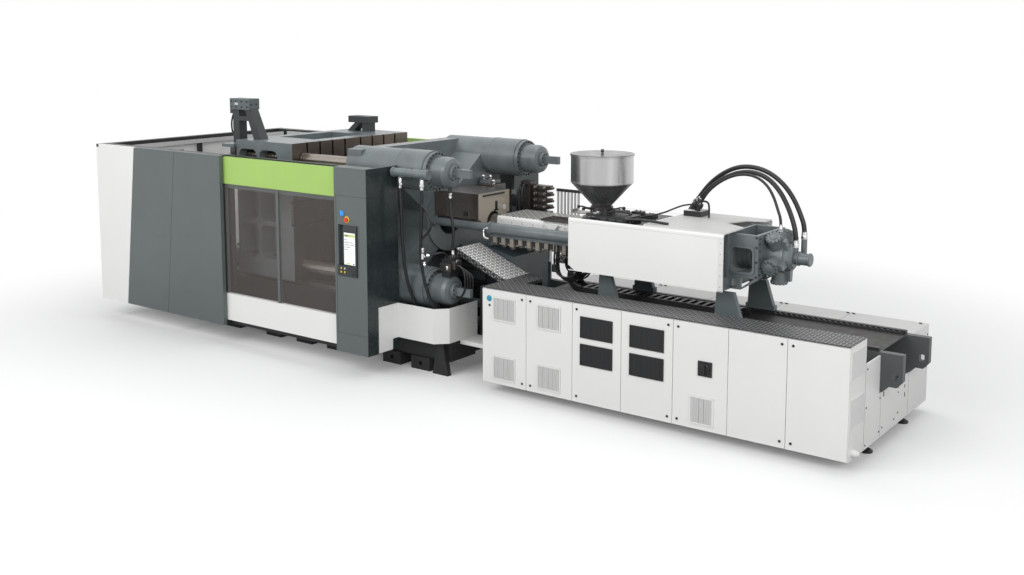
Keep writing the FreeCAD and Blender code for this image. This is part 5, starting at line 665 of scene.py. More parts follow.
PLATEN_HOSE_ROUTES = (
    ((-0.18, -1.44, 2.56), (-0.18, -1.44, 2.39), (-0.166, -1.434, 2.17), (-0.172, -1.424, 1.94),
     (-0.162, -1.414, 1.7), (-0.154, -1.4, 1.47), (-0.13, -1.374, 1.26), (-0.106, -1.332, 1.09),
     (-0.084, -1.288, 0.96), (-0.072, -1.264, 0.88), (-0.072, -1.264, 0.8)),
    ((0.198, -1.44, 2.56), (0.198, -1.44, 2.38), (0.182, -1.432, 2.16), (0.162, -1.424, 1.93),
     (0.148, -1.414, 1.7), (0.152, -1.4, 1.47), (0.18, -1.374, 1.26), (0.214, -1.332, 1.09),
     (0.244, -1.288, 0.96), (0.262, -1.264, 0.88), (0.262, -1.264, 0.8)),
    ((0.33, -1.02, 2.42), (0.33, -1.02, 2.31), (0.344, -1.026, 2.19), (0.368, -1.024, 2.07),
     (0.384, -1.02, 1.95), (0.376, -1.02, 1.83), (0.37, -1.02, 1.725), (0.37, -1.02, 1.63)),
)


def hose_curve(name, route, radius, body, along=12, round_it=6):
    """A hose as a NURBS spline whose control points are its route, with its steps along and round it."""
    data = bpy.data.curves.new(name, "CURVE")
    data.dimensions = "3D"
    data.resolution_u = along
    data.bevel_depth = radius
    data.bevel_resolution = round_it
    data.use_fill_caps = True
    spline = data.splines.new("NURBS")
    spline.points.add(len(route) - 1)
    for point, place in zip(spline.points, route):
        point.co = (*place, 1.0)
    spline.order_u = 3
    spline.use_endpoint_u = True
    data.materials.append(RUBBER)
    hose = add_object(name, data)
    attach(hose, body)
    return hose


def make_hoses():
    groups = (("motor_hose", MOTOR_HOSE_ROUTES, MOTOR_HOSE_RADII, "carriage"),
              ("platen_hose", PLATEN_HOSE_ROUTES, PLATEN_HOSE_RADII, "root"))
    for name, routes, radii, body in groups:
        form = Form()
        for number, (route, radius) in enumerate(zip(routes, radii), 1):
            hose = hose_curve("%s_line_%d" % (name, number), route, radius, body)
            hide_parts("%s_%d" % (name, number))
            form.ferrule(route[0], route[1], radius, 0.04, 0.018)
            form.ferrule(route[-1], route[-2], radius, 0.055, 0.02)
        form.finish("%s_ferrules" % name, body, "chrome", CHROME, smooth=40)


def thin_line(name, route, radius, body):
    """A thin hose or cable between two fixed ends."""
    line = hose_curve(name, route, radius, body, 8, 3)


# ---- cabinet doors
# The vents' doors, with the way aside from the door's middle, the lower edge, the width and the height.
WHITE_VENTS = ((1, 0, 0.2, 0.345, 0.305), (1, 0, 0.96, 0.345, 0.305), (2, 0, 0.2, 0.345, 0.305),
               (2, 0, 0.96, 0.345, 0.305), (5, 0.03, 0.2, 0.3, 0.32))
BLACK_VENTS = ((3, 0.61), (3, 0.945), (4, 0.61), (4, 0.945))
DOOR_LOW, DOOR_HIGH, DOOR_EDGE, DOOR_GAP = 0.142, 1.352, 0.004, 0.003


def make_vents():
    """White vents and black grilles on the doors: a frame round upright slats."""
    front, back = DOOR_FACE - 0.012, DOOR_FACE - 0.0005
    for order, (number, aside, z, wide, tall) in enumerate(WHITE_VENTS, 1):
        form = Form()
        x = DOOR_LEFT + DOOR_PITCH * (number - 0.5) + aside
        form.frame(x, z, wide, tall, front, back, 0.016)
        form.slats(x, z + 0.017, wide - 0.04, tall - 0.034, front + 0.001, 0.005, 0.03, 0.011, 0.006, 1)
        form.finish("vent_%d" % order, "door_%d" % number, "white_paint", WHITE, VENT_WHITE)
    for order, (number, z) in enumerate(BLACK_VENTS, 1):
        form = Form()
        x = DOOR_LEFT + DOOR_PITCH * (number - 0.5)
        form.frame(x, z, 0.452, 0.262, front, back, 0.014)
        form.slats(x, z + 0.015, 0.42, 0.232, front + 0.0015, 0.0095, 0.028, 0.006, 0.0095)
        form.finish("grille_%d" % order, "door_%d" % number, "black_paint", BLACK_PLASTIC)


def make_door_trim():
    """Folded door edges, the dot and the extra latch on the first door, and the switch's collar."""
    form = Form()
    face = DOOR_FACE - 0.0002
    form.turned(disc(0.04, 0.002, (0.003, 0.038)), (DOOR_LEFT + 0.108, face, 1.232), FRONT, 28)
    form.turned(disc(0.015, 0.006, (0.007, 0.012)), (DOOR_LEFT + 0.114, face, 1.146), FRONT, 16, 1)
    form.finish("door_dot", "door_1", "blue_plastic", CYAN, BLACK_PLASTIC, smooth=40)
    form = Form()
    profile = disc(0.06, 0.006, (0.01, 0.054), (0.01, 0.036))
    form.turned(profile, (SWITCH_X, DOOR_FACE - 0.0142, SWITCH_Z), FRONT)
    form.finish("switch_collar", "door_5", "black_paint", BLACK_PLASTIC, smooth=40)
    front, back = DOOR_FACE - 0.0015, DOOR_FACE + 0.002
    for number in range(1, 8):
        form = Form()
        left = DOOR_LEFT + DOOR_PITCH * (number - 1) + DOOR_GAP
        right = left + DOOR_PITCH - 2 * DOOR_GAP
        for x0, x1 in ((left, left + DOOR_EDGE), (right - DOOR_EDGE, right)):
            form.box((x0, front, DOOR_LOW), (x1, back, DOOR_HIGH), 0.0007)
        for z0, z1 in ((DOOR_LOW, DOOR_LOW + DOOR_EDGE), (DOOR_HIGH - DOOR_EDGE, DOOR_HIGH)):
            form.box((left + DOOR_EDGE, front, z0), (right - DOOR_EDGE, back, z1), 0.0007)
        form.finish("door_edge_%d" % number, "door_%d" % number, "white_paint", WHITE)


# ---- cabinet end and rear
def make_end_panels():
    """Vents, seams, screws and slots on the end of the base, and the rear cabinet's seams and louvres."""
    form = Form()
    face, left, right, edge, count = BASE_END, -1.385, -0.975, 0.006, 26
    for z0, z1 in ((0.985, 1.3), (0.47, 0.79)):
        for y in (left, right):
            form.box((face - 0.004, y - edge, z0), (face + 0.006, y + edge, z1), 0.001)
        for z in (z0, z1):
            form.box((face - 0.004, left - edge, z - edge), (face + 0.006, right + edge, z + edge), 0.001)
        # Painted light: the vents' backs and slats take the lighter copy of the vent paint.
        form.box((face - 0.004, left + edge, z0 + edge), (face + 0.001, right - edge, z1 - edge), 0, 1)
        for i in range(count):
            y = left + edge + (i + 0.5) * (right - left - 2 * edge) / count
            form.box((face + 0.001, y - 0.0032, z0 + 0.012), (face + 0.005, y + 0.0032, z1 - 0.012), 0, 1)
    for y, z1 in ((-0.9475, 1.36), (-0.44, 0.652), (0.499, 0.652)):
        form.box((face - 0.002, y - 0.0025, 0.14), (face + 0.0006, y + 0.0025, z1), 0, 2)
    for y, z in ((-0.9, 1.015), (-0.9, 0.59), (-0.9, 0.175), (-0.475, 0.59), (-0.475, 0.21), (-0.38, 0.23),
                 (0.14, 0.56), (0.14, 0.5), (0.14, 0.26), (0.02, 0.215), (1.15, 0.96), (1.15, 0.56)):
        form.turned(disc(0.011, 0.0045, (0.006, 0.008)), (face - 0.0004, y, z), RIGHT, 12, 3)
    for y, z, tall in ((-0.36, 0.608, 0.028), (0.362, 0.518, 0.018), (0.372, 0.414, 0.028)):
        form.box((face - 0.0004, y - 0.012, z - tall), (face + 0.004, y + 0.012, z + tall), 0.001, 3)
    form.finish("end_panel_trim", "root", "white_paint", WHITE, END_VENT_LIT, GREY, BLACK_PLASTIC)

    form = Form()
    top = 1.08
    catches = [(5.87, 5.905, 1.14)]
    for x in (1.472, 2.36, 3.248, 4.137, 5.025):
        form.box((x - 0.002, 0.502, top - 0.001), (x + 0.002, 1.198, top + 0.0012))
        form.box((x - 0.002, 1.199, 0.14), (x + 0.002, 1.2008, 1.078))
        catches += [(x + start, x + start + 0.035, y) for y in (0.56, 1.14) for start in (-0.055, 0.02)]
    for x0, x1, y in catches:
        form.box((x0, y - 0.012, top - 0.001), (x1, y + 0.012, top + 0.012), 0.003, 1)
    form.finish("rear_cabinet_trim", "root", "white_paint", GREY, BLACK_PLASTIC)

    form = Form()
    for x in (1.9, 2.6, 3.3, 4.0, 4.7, 5.4):
        form.box((x - 0.16, 1.1998, 0.3), (x + 0.16, 1.2045, 0.304))
        for i in range(12):
            z = 0.32 + i * 0.022
            form.box((x - 0.15, 1.1995, z), (x + 0.15, 1.206, z + 0.007), 0.001)
    form.finish("rear_cabinet_louvres", "root", "white_paint", VENT_WHITE)


# ---- operator column
def make_operator_face():
    """Plain rows of fields on the screen, a soft key block and the frames round the buttons."""
    left, right, low, high = -0.735, -0.521, 1.505, 1.945
    face, front = -1.949, -1.943
    form = Form()

    def field(x0, x1, z0, z1, index, lift=0.001):
        form.box((x0, face - lift - 0.0008, z0), (x1, face - lift, z1), 0, index)

    form.box((left + 0.006, face - 0.0012, low + 0.006), (right - 0.006, face, high - 0.006))
    field(left + 0.01, right - 0.01, high - 0.06, high - 0.026, 1)
    field(left + 0.02, left + 0.09, high - 0.054, high - 0.036, 2, 0.0016)
    for row, count in enumerate((2, 7, 8, 5, 3)):
        z = high - 0.095 - row * 0.032
        for x in (left + 0.018 + i * 0.023 for i in range(count)):
            field(x, x + 0.014, z - 0.013, z, 2)
    field(left + 0.05, left + 0.12, low + 0.014, low + 0.03, 1)
    field(right - 0.05, right - 0.02, low + 0.014, low + 0.03, 2)
    form.finish("screen_fields", "root", "grey_plastic", SCREEN, SCREEN_GREEN, SCREEN_GREY)

    form = Form()
    for z in (1.462, 1.428):
        for x in (-0.675 + i * 0.03 for i in range(5)):
            form.box((x, front - 0.003, z - 0.009), (x + 0.02, front, z + 0.009), 0.002)
    form.turned(disc(0.018, 0.006, (0.008, 0.014)), (-0.59, front + 0.0005, 1.385), FRONT, 24, 1)
    form.box((-0.545, front - 0.005, 1.365), (-0.52, front, 1.475), 0.003, 1)
    form.finish("key_block", "root", "grey_plastic", UNIT_GREY, BLACK_PLASTIC)

    form = Form()
    form.turned(disc(0.046, 0.003, (0.005, 0.042), (0.005, 0.024)), (-0.696, -1.9252, 2.108), FRONT)
    form.frame(-0.777, 2.152, 0.076, 0.076, -1.93, -1.925, 0.006, 1, 0.001)
    form.finish("button_rings", "root", "key_plastic", YELLOW, BLACK_PLASTIC, smooth=40)


# ---- clamp unit
def make_cap_trim():
    """Seam lines, washers and plugs on the clamp cylinders and their caps."""
    form = Form()
    for y, z in BAR_PLACES:
        form.turned(disc(0.2762, 0.006), (0.05, y, z), RIGHT, 64)
        form.turned(disc(0.2775, 0.03), (-0.44, y, z), RIGHT, 64)
        for dy, dz in circle(24, CAP_BOLT_CIRCLE, 0.5):
            form.turned(disc(0.0185, 0.005, (0.006, 0.017)), (0.12, y + dy, z + dz), RIGHT, 10, 1)
        for dy, dz in circle(8, 0.08, 0.5):
            form.bolt((0.4445, y + dy, z + dz), RIGHT, 0.011, 0.01, 1)
        form.turned(disc(0.062, 0.004, (0.006, 0.058)), (0.444, y, z), RIGHT)
    form.finish("cap_trim", "root", "cast_paint", CAST, DARK_CAST, smooth=40)


def make_upper_fittings():
    """Valves, elbows and thin lines round the front cylinders, as far as the photograph shows them."""
    form = Form()
    y, top = -1.44, AXIS_Z + BAR_Z
    for x in (-0.18, 0.198):
        form.turned([(0, 0.027), (0.03, 0.031), (0.055, 0.031), (0.085, 0.026)], (x, y, 2.575), UP, 20)
    elbow = ((-0.33, y, top + 0.005), (-0.4, y, top), (-0.44, y, top - 0.04), (-0.445, y, top - 0.11))
    form.pipe(elbow, 0.017)
    form.fitting((-0.445, y, top - 0.1), DOWN, 0.016, 0.07)
    form.bolts((-0.23, 0.03), [-1.438], (top - 0.058, top + 0.074), FRONT, 0.009, 0.008, 1)
    form.finish("upper_fittings", "root", "chrome", WHITE_METAL, DARK_CAST, smooth=40)

    thin_line("branch_line_1", (
        (0.196, -1.443, 2.33), (0.24, -1.446, 2.3), (0.318, -1.448, 2.225), (0.372, -1.448, 2.12),
        (0.345, -1.446, 2.02), (0.262, -1.44, 1.935), (0.18, -1.432, 1.87)), 0.016, "root")
    thin_line("branch_line_2", (
        (0.168, -1.398, 1.648), (0.29, -1.35, 1.662), (0.345, -1.28, 1.68), (0.352, -1.2, 1.67),
        (0.345, -1.14, 1.64), (0.34, -1.112, 1.6)), 0.015, "root")
    form = Form()
    form.fitting((0.168, -1.402, 1.69), (0.15, -0.05, 1), 0.015, 0.06)
    form.fitting((0.176, -1.392, 1.56), (0.25, 0.1, -1), 0.015, 0.06)
    form.fitting((0.172, -1.385, 1.64), (1, 0.25, 0.15), 0.016, 0.095)
    form.turned(disc(0.024, 0.075), (0.168, -1.4, 1.6), (0.02, 0.0, 1), 20)
    form.finish("branch_fittings", "root", "chrome", WHITE_METAL, smooth=40)


def make_valve_block():
    """Screws, ports and coils on the block that sits on the lower front cap."""
    form = Form()
    x0, x1, y0 = 0.25, 0.395, -1.11
    form.bolts((x0 + 0.02, x1 - 0.02), [y0 + 0.001], (1.38, 1.535), FRONT, 0.01, 0.009)
    port = disc(0.034, 0.012, (0.016, 0.028), (0.016, 0.016))
    form.turned(port, (0.32, y0 + 0.001, 1.455), FRONT, 24, 1)
    form.turned(disc(0.026, 0.045, (0.05, 0.02)), (0.4295, -1.06, 1.545), RIGHT, 20, 2)
    form.turned(disc(0.03, 0.006, (0.01, 0.024)), (0.479, -1.06, 1.545), RIGHT, 20, 1)
    form.turned(disc(0.02, 0.04, (0.046, 0.015)), (0.4295, -0.985, 1.52), RIGHT, 16)
    form.box((x1 + 0.002, y0 + 0.004, 1.44), (x1 + 0.085, -0.965, 1.552), 0.008)
    form.box((x0 - 0.012, y0 - 0.03, 1.405), (x1 + 0.03, y0 + 0.001, 1.52), 0.008)
    form.turned(disc(0.03, 0.02, (0.024, 0.024)), (0.372, y0 - 0.03, 1.46), FRONT, 24, 1)
    for i in range(4):
        y, out = -1.075 + 0.03 * i, 0.02 * i
        thin_line("block_cable_%d" % (i + 1), (
            (0.48, y, 1.5 - out), (0.54, y, 1.494 - out), (0.6 + out, y, 1.44 - out),
            (0.625 + out, y, 1.33), (0.612 + out, y + 0.01, 1.2), (0.56 + out, y + 0.02, 1.09),
            (0.47, y + 0.03, 1.03)), 0.012, "root")
    form.finish("valve_block_trim", "root", "black_paint", DARK_CAST, CHROME, BLACK_PLASTIC, smooth=40)


def make_stack_trim():
    """Coils, plugs and screwed fittings on the tower of valves on the rear platform."""
    form = Form()
    for level in range(5):
        z = 1.981 + level * 0.092
        for x, r in ((0.48, 0.022), (0.64, 0.024)):
            coil = [(0, r * 1.2), (0.012, r * 1.2), (0.014, r), (0.044, r), (0.048, r * 0.7)]
            form.turned(coil, (x, 0.7305, z), FRONT, 16)
        form.turned(disc(0.02, 0.05, (0.056, 0.014)), (0.6995, 0.79, z), RIGHT, 14)
        form.box((0.53, 0.722, z - 0.022), (0.59, 0.7302, z + 0.022), 0.004, 1)
    for i, x in enumerate((0.26, 0.33)):
        form.pipe(((x, 0.7, 2.4 - 0.03 * i), (x + 0.005, 0.64, 2.385), (x + 0.01, 0.59, 2.3),
                   (x + 0.01, 0.57, 2.18), (x, 0.585, 2.06), (x - 0.01, 0.62, 1.96)), 0.013, 2)
    form.box((0.1, 0.64, 1.915), (0.205, 0.79, 2.3), 0.012, 3)
    form.box((0.112, 0.6375, 2.06), (0.19, 0.6405, 2.23), 0.006, 4)
    form.box((-0.486, 0.6, 2.17), (-0.18, 0.88, 2.345), 0.012, 1)
    form.box((-0.486, 0.64, 2.34), (-0.26, 0.86, 2.4), 0.008, 3)
    for x, y, z, r in ((-0.42, 0.66, 2.398, 0.022), (-0.32, 0.7, 2.398, 0.018), (-0.22, 0.64, 2.343, 0.02)):
        form.fitting((x, y, z), UP, r, 0.07, 5)
    for y in (0.64, 0.74):
        form.fitting((-0.181, y, 2.26), RIGHT, 0.02, 0.08)
    form.finish("valve_stack_trim", "root", "chrome",
                VALVE_STEEL, DARK_CAST, RUBBER, CAST, CHUTE, CHROME, smooth=40)


def make_purge_trim():
    """Edges, slot, ring, bar and slanting slats of the box over the nozzle."""
    form = Form()
    x, front, back, low, high = 0.2732, -0.35, 0.37, 1.93, 2.35
    form.box((x, 0.035, 2.085), (x + 0.006, 0.075, 2.215), 0.012)
    form.box((x, 0.005, 2.075), (x + 0.006, 0.105, 2.098), 0.004)
    form.turned(disc(0.038, 0.006, (0.006, 0.022)), (x - 0.001, 0.245, 2.105), RIGHT, 28, 1)
    form.box((x, -0.25, 2.302), (x + 0.016, 0.24, 2.326), 0.003)
    for y in (front + 0.001, back - 0.007):
        form.box((x - 0.01, y, low), (x + 0.002, y + 0.006, high), 0.001, 2)
    z0, z1, end, reach = low + 0.012, high - 0.012, 0.26, 0.3
    for left in (-0.5 + i * 0.028 for i in range(26)):
        share = min(1.0, (end - left) / reach)
        right, z = left + reach * share, z0 + (z1 - z0) * share
        outline = ((left, z0), (left + 0.01, z0), (right + 0.01, z), (right, z))
        form.skin([[(x, y, z) for x, z in outline] for y in (front - 0.004, front + 0.001)], 3)
    form.box((0.02, front - 0.012, 2.03), (0.085, front - 0.0005, 2.085), 0.006)
    form.finish("purge_guard_trim", "root", "smoky_window", BLACK_PLASTIC, LIGHT_KEY, BEIGE, DARK_CAST)


# ---- guard and platen
def make_guard_trim():
    """Linings of the guard's top rails, green behind the platen, and the upright bars of the gate windows."""
    form = Form()
    low, high, end = 2.7005, 2.77, -5.85
    form.box((end, -1.675, low), (end + 0.002, 1.675, high))
    for side in (-1, 1):
        y0, y1 = sorted((side * 1.748, side * 1.746))
        form.box((end + 0.01, y0, low), (-3.3, y1, high))
    top = 2.8002
    form.box((-3.23, 1.746, low), (-0.94, 1.748, top + 0.0018), 0, 1)
    form.box((-3.23, 1.748, top), (-0.94, 1.788, top + 0.0018), 0, 1)
    form.finish("rail_lining", "root", "white_paint", VENT_WHITE, GREEN)
    for side, sign in (("front", -1), ("rear", 1)):
        lowest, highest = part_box("%s_gate_window" % side)
        face = lowest[1] if sign < 0 else highest[1]
        y0, y1 = sorted((face, face + sign * 0.01))
        x, half = (lowest[0] + highest[0]) / 2, 0.022
        form = Form()
        form.box((x - half, y0, lowest[2] + 0.012), (x + half, y1, highest[2] - 0.012), 0.002)
        form.finish("%s_gate_bar" % side, "%s_gate" % side, "grey_paint", GREY)


def make_tower_trim():
    """Lines that come down from the front tower, screws on both heads."""
    back = TOWERS_LOW[0] + 0.36
    for i in range(3):
        y = -1.052 + 0.034 * i
        thin_line("tower_line_%d" % (i + 1), (
            (back - 0.225, y, 3.402), (back - 0.275, y, 3.34), (back - 0.322 + 0.012 * i, y, 3.24),
            (back - 0.335 + 0.012 * i, y, 3.14), (back - 0.318 + 0.01 * i, y, 3.05), (back - 0.285, y, 3.0),
            (back - 0.258, y, 2.985)), 0.013, "platen")
    form = Form()
    places = [back + x for x in (-0.25, -0.15, -0.02, 0.1)]
    form.bolts(places, [-1.1098], (3.44, 3.525), FRONT, 0.013, 0.012)
    form.box((back - 0.18, -1.112, 3.466), (back - 0.1, -1.1095, 3.506), 0.002, 1)
    form.bolts([back + 0.1395], (-1.06, -0.96), [3.48], RIGHT, 0.013, 0.012)
    form.finish("tower_screws", "platen", "black_paint", DARK_CAST, LIGHT_KEY, smooth=40)


# ---- injection unit
def make_under_barrel():
    """Terminal blocks, solenoids, pipes and cable loops that hang below the front pull cylinder."""
    form = Form()
    top = 1.803
    for i in range(9):
        x = 0.56 + 0.142 * i
        tall = 0.085 + 0.018 * (i % 3)
        form.box((x, -0.392, top - tall), (x + 0.062, -0.305, top), 0.006)
        form.box((x + 0.004, -0.372, top - tall - 0.03), (x + 0.05, -0.32, top - tall), 0.004, 1)
        form.turned(disc(0.032, 0.075, (0.08, 0.026)), (x + 0.102, -0.35, top - 0.002), DOWN, 18, 1)
        form.turned(disc(0.02, 0.028, (0.032, 0.014)), (x + 0.102, -0.35, top - 0.08), DOWN, 14, 2)
    form.finish("terminal_blocks", "carriage", "black_paint", BEIGE, BLACK_PLASTIC, STEEL, smooth=40)

    form = Form()
    for i in range(6):
        y, sag = -0.33 + i * 0.05, 0.012 * i
        places = ((1.846, 1.775), (1.79, 1.772), (1.735, 1.745), (1.65, 1.665), (1.56, 1.575))
        form.pipe([(x, y, z - sag) for x, z in places], 0.012, 0, 5, 10)
        form.fitting((1.578, y, 1.593 - sag), (-0.7, 0, -0.7), 0.013, 0.055)
    form.finish("feed_pipes", "carriage", "chrome", CHROME, smooth=50)
    for i in range(8):
        y = -0.392 + 0.032 * i if i < 4 else -0.29 + 0.034 * i
        top = 1.802 if i < 4 else 1.748
        drop, start = 0.022 * (i % 4), 1.59 + 0.014 * (i % 3)
        thin_line("cable_loop_%d" % (i + 1), (
            (start, y, top), (start - 0.004, y, 1.7), (start - 0.018, y, 1.57 - drop),
            (start + 0.01, y, 1.43 - drop), (start + 0.12, y + 0.004, 1.372 - drop),
            (start + 0.26, y + 0.008, 1.392 - drop),
            (start + 0.35, y + 0.01, 1.47), (start + 0.375, y + 0.01, 1.58)), 0.013, "carriage")

    form = Form()
    form.pipe(((0.455, -0.38, 1.905), (0.452, -0.445, 1.895), (0.452, -0.462, 1.84), (0.47, -0.462, 1.79),
               (0.52, -0.44, 1.77)), 0.014)
    form.fitting((0.494, -0.4365, 1.9075), FRONT, 0.013, 0.045)
    form.finish("pull_cylinder_elbow", "carriage", "chrome", CHROME, smooth=50)


def make_barrel_cover_trim():
    """The grid step over the barrel cover and the bracket below it, with screws along the edge."""
    form = Form()
    top = 2.057
    x0, x1, y0, y1 = 1.245, 1.82, -0.23, 0.06
    for y in (y0, y1 - 0.008):
        form.box((x0, y, top + 0.006), (x1, y + 0.008, top + 0.036))
    for i in range(20):
        x = x0 + i * (x1 - x0 - 0.006) / 19
        form.box((x, y0 + 0.008, top + 0.008), (x + 0.005, y1 - 0.008, top + 0.034))
    for i in range(5):
        y = y0 + 0.05 + i * 0.046
        form.box((x0 + 0.006, y, top + 0.018), (x1 - 0.006, y + 0.003, top + 0.03))
    for x in (x0 + 0.03, x1 - 0.05):
        for y in (y0 + 0.045, y1 - 0.03):
            form.box((x, y, top - 0.0005), (x + 0.02, y + 0.016, top + 0.01))
    form.finish("grid_step", "carriage", "black_paint", DARK_CAST)
    form = Form()
    front = -0.1902
    outline = ((1.33, 2.02), (1.52, 2.02), (1.425, 1.9))
    form.skin([[(x, y, z) for x, z in outline] for y in (front - 0.05, front)], 0)
    form.finish("step_bracket", "carriage", "white_paint", WHITE)
    form = Form()
    form.bolts([0.56 + i * 0.175 for i in range(8)], [front + 0.0005], [1.985], FRONT, 0.01, 0.008)
    form.box((0.482, front - 0.0025, 1.768), (1.855, front + 0.001, 1.776))
    form.finish("barrel_cover_screws", "carriage", "white_paint", VENT_WHITE, smooth=40)


def make_cover_trim():
    """Creases, flange, seam and screws of the unit covers, lines on their roof, the throat's shelf."""
    form = Form()
    for side in (-1, 1):
        y, out = side * 0.68, side * 0.0025
        y0, y1 = sorted((y - out * 0.2, y + out))
        # Painted shade: the crease is drawn as a grey strip.
        form.box((1.996, y0, 2.186), (4.146, y1, 2.1885), 0, 1)
        form.box((4.086, y0, 1.566), (4.1495, y1, 2.205), 0.0008)
        rows = [1.62 + i * 0.13 for i in range(5)]
        form.bolts([4.118], [y + out * 0.9], rows, (0, side, 0), 0.008, 0.005, 1, False)
        form.box((1.992, y0, 1.56), (4.149, y1, 1.572), 0.0008)
    form.box((3.06, -0.64, 2.2495), (3.084, 0.64, 2.253), 0.0008)
    form.bolts((3.11, 4.1), (-0.6, -0.2, 0.2, 0.6), [2.2498], UP, 0.008, 0.005, 1, False)
    form.finish("unit_cover_trim", "carriage", "white_paint", WHITE, VENT_WHITE, smooth=40)
    thin_line("roof_cable", (
        (2.802, -0.42, 2.262), (2.9, -0.4, 2.3), (3.02, -0.33, 2.318), (3.11, -0.2, 2.345),
        (3.17, -0.02, 2.39), (3.23, 0.14, 2.418), (3.322, 0.288, 2.408)), 0.011, "carriage")
    form = Form()
    form.pipe(((2.79, -0.6, 2.27), (2.88, -0.6, 2.285), (3.02, -0.59, 2.29), (3.18, -0.56, 2.28),
               (3.33, -0.5, 2.262)), 0.017, 0, 5, 10)
    form.pipe(((3.3, 0.285, 2.3), (3.33, 0.285, 2.43), (3.395, 0.285, 2.452), (3.45, 0.285, 2.44),
               (3.47, 0.285, 2.38), (3.47, 0.285, 2.252)), 0.013)
    collar = [(0, 0.036), (0.012, 0.042), (0.05, 0.042), (0.062, 0.034)]
    for x, y, z in ((3.33, 0.3, 2.395), (3.297, 0.375, 2.455), (3.213, 0.447, 2.425)):
        form.turned(collar, (x - 0.01, y, z - 0.03), (0.5, 0, 1), 20)
        form.pipe(((x, y, z - 0.02), (x - 0.02, y, z - 0.08), (x - 0.035, y, 2.3)), 0.024, 0, 4)
    form.finish("hose_foot_clamp", "carriage", "black_paint", BLACK_PLASTIC, smooth=50)

    form = Form()
    top = 2.157
    for x0, y0, y1 in ((1.996, -0.668, -0.19), (1.996, 0.19, 0.66), (2.256, -0.19, 0.19)):
        form.box((x0, y0, 2.15), (3.066, y1, 2.158))
    form.box((1.996, 0.65, 2.08), (3.066, 0.66, 2.151))
    for x, y, wide, deep, tall in ((2.38, 0.22, 0.15, 0.11, 0.085), (2.57, 0.24, 0.12, 0.14, 0.06),
                                   (2.02, -0.42, 0.14, 0.12, 0.05), (2.06, 0.3, 0.18, 0.12, 0.06),
                                   (2.88, -0.2, 0.12, 0.2, 0.055)):
        form.box((x, y, top), (x + wide, y + deep, top + tall), 0.006, 1)
        form.bolts((x + wide * 0.3, x + wide * 0.7), [y + deep * 0.5], [top + tall], UP, 0.012, 0.012, 1)
    form.finish("throat_shelf", "carriage", "black_paint", TOWER, BLACK_PLASTIC, smooth=40)
    form = Form()
    for x in (2.42, 2.54, 2.66):
        form.box((x, -0.6045, 2.2), (x + 0.085, -0.5995, 2.27), 0.002)
    for i in range(4):
        form.turned(disc(0.016, 0.03, (0.034, 0.012)), (2.8, -0.56 + i * 0.08, 2.235), RIGHT, 14, 1)
    form.turned(disc(0.03, 0.014, (0.018, 0.024)), (2.43, -0.51, 2.3345), UP, 24, 1)
    form.pipe(((2.43, -0.47, 2.31), (2.5, -0.42, 2.33), (2.62, -0.35, 2.318), (2.7, -0.3, 2.295)), 0.012, 1)
    form.finish("junction_trim", "carriage", "black_paint", UNIT_GREY, BLACK_PLASTIC, smooth=40)


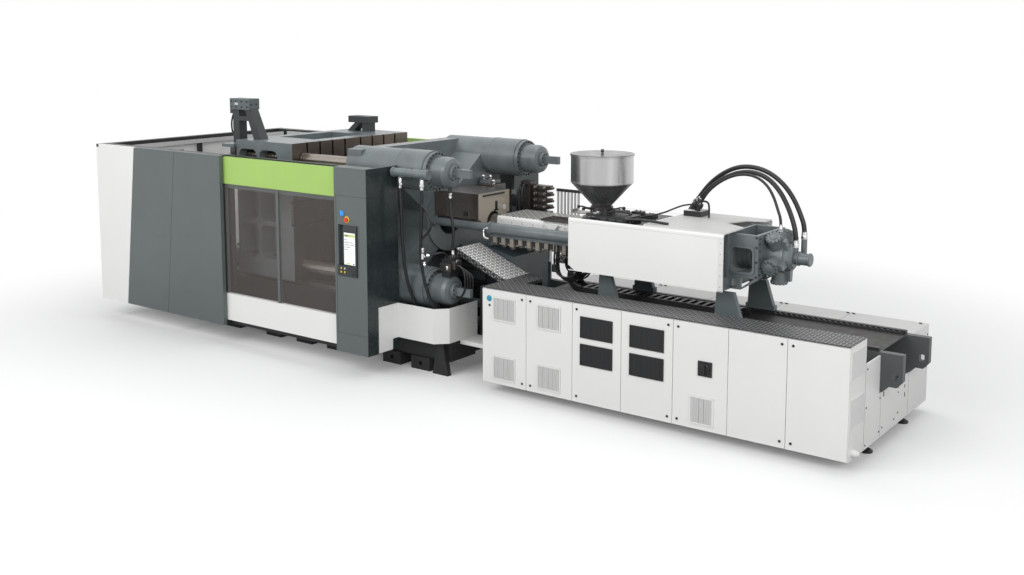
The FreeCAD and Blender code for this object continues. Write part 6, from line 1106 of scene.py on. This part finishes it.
def make_hopper_trim():
    """Weld beads, the lid's knob, clamp ring and levers round the hopper's foot."""
    form = Form()
    x = HOPPER_X
    for r, z in ((0.4095, 2.629), (0.4095, 2.97), (0.118, 2.314)):
        form.turned([(0, r), (0.004, r + 0.005), (0.01, r + 0.005), (0.014, r)], (x, 0, z), UP, 72)
    form.box((x - 0.006, -0.4112, 2.64), (x + 0.006, -0.4085, 2.965), 0.001)
    form.finish("hopper_beads", "carriage", "stainless", STAINLESS, smooth=40)
    form = Form()
    knob = [(0, 0.016), (0.014, 0.012), (0.018, 0.02), (0.034, 0.022), (0.04, 0.014)]
    form.turned(knob, (x, 0, 2.9985), UP, 24)
    form.finish("lid_knob", "lid", "black_paint", BLACK_PLASTIC, smooth=50)
    form = Form()
    for dx, y in circle(8, 0.142, 0.5):
        form.bolt((x + dx, y, 2.2415), UP, 0.012, 0.014)
    form.turned([(0, 0.132), (0.01, 0.15), (0.052, 0.15), (0.062, 0.132)], (x, 0, 2.256), UP, 48, 1)
    for turn in (-2.6, -1.9, -0.5, 0.2):
        c, t = math.cos(turn), math.sin(turn)
        lever = ((0.14, 2.28), (0.2, 2.284), (0.255, 2.3), (0.3, 2.296))
        form.pipe([(x + out * c, out * t, z) for out, z in lever], 0.01)
        grip = [(0, 0.012), (0.006, 0.02), (0.034, 0.02), (0.04, 0.012)]
        form.turned(grip, (x + 0.285 * c, 0.285 * t, 2.297), (c, t, 0), 18)
    form.finish("hopper_clamp", "carriage", "black_paint", BLACK_PLASTIC, DARK_CAST, smooth=40)


def make_motor_trim():
    """Head screws, covers and rings of the star-shaped motor, flange screws, and the screws of its yoke."""
    form = Form()
    for c, t in circle(5, 1.0, -1.25):
        out, across = Vector((0, c, t)), Vector((0, -t, c))
        seat = Vector((MOTOR_X, 0, AXIS_Z)) + out * 0.287
        for dx, aside in circle(12, 0.086):
            form.bolt(seat + Vector((dx, 0, 0)) + across * aside + out * 0.0335, out, 0.0105, 0.0115, 1)
        form.turned(disc(0.052, 0.006, (0.01, 0.046)), seat + out * 0.0395, out, 28)
        form.turned(disc(0.0935, 0.01), seat - out * 0.05, out, 40)
    for dy, dz in circle(10, 0.15, 0.5):
        form.bolt((4.6605, dy, AXIS_Z + dz), RIGHT, 0.011, 0.03, 1)
    form.turned([(0, 0.085), (0.008, 0.088), (0.016, 0.085)], (4.79, 0, AXIS_Z), RIGHT)
    form.turned(disc(0.08, 0.014, (0.02, 0.07)), (4.922, 0, AXIS_Z), RIGHT)
    form.finish("motor_trim", "carriage", "cast_paint", CAST, DARK_CAST, smooth=40)
    form = Form()
    for side in (-1, 1):
        y, out = side * 0.38, (0, side, 0)
        form.bolts((4.07, 4.43), [y], (1.725, 1.9, 2.075, 2.19), out, 0.013, 0.014, 1)
        form.bolt((4.118, y, 1.572), out, 0.01, 0.01, 1)
    rows = (1.745, 1.83, 1.93, 2.03, 2.115, 2.175)
    form.bolts([4.4498], (-0.345, 0.345), rows, RIGHT, 0.013, 0.014, 1)
    form.finish("yoke_screws", "carriage", "cast_paint", CAST, DARK_CAST, smooth=40)


bpy.context.scene.view_settings.view_transform = "Standard"
make_camera()
dress_nodes()
make_tie_bars()
make_hoses()
make_vents()
make_door_trim()
make_end_panels()
make_operator_face()
make_cap_trim()
make_upper_fittings()
make_valve_block()
make_stack_trim()
make_purge_trim()
make_guard_trim()
make_tower_trim()
make_under_barrel()
make_barrel_cover_trim()
make_cover_trim()
make_hopper_trim()
make_motor_trim()
make_stage()
make_world()
make_lights()
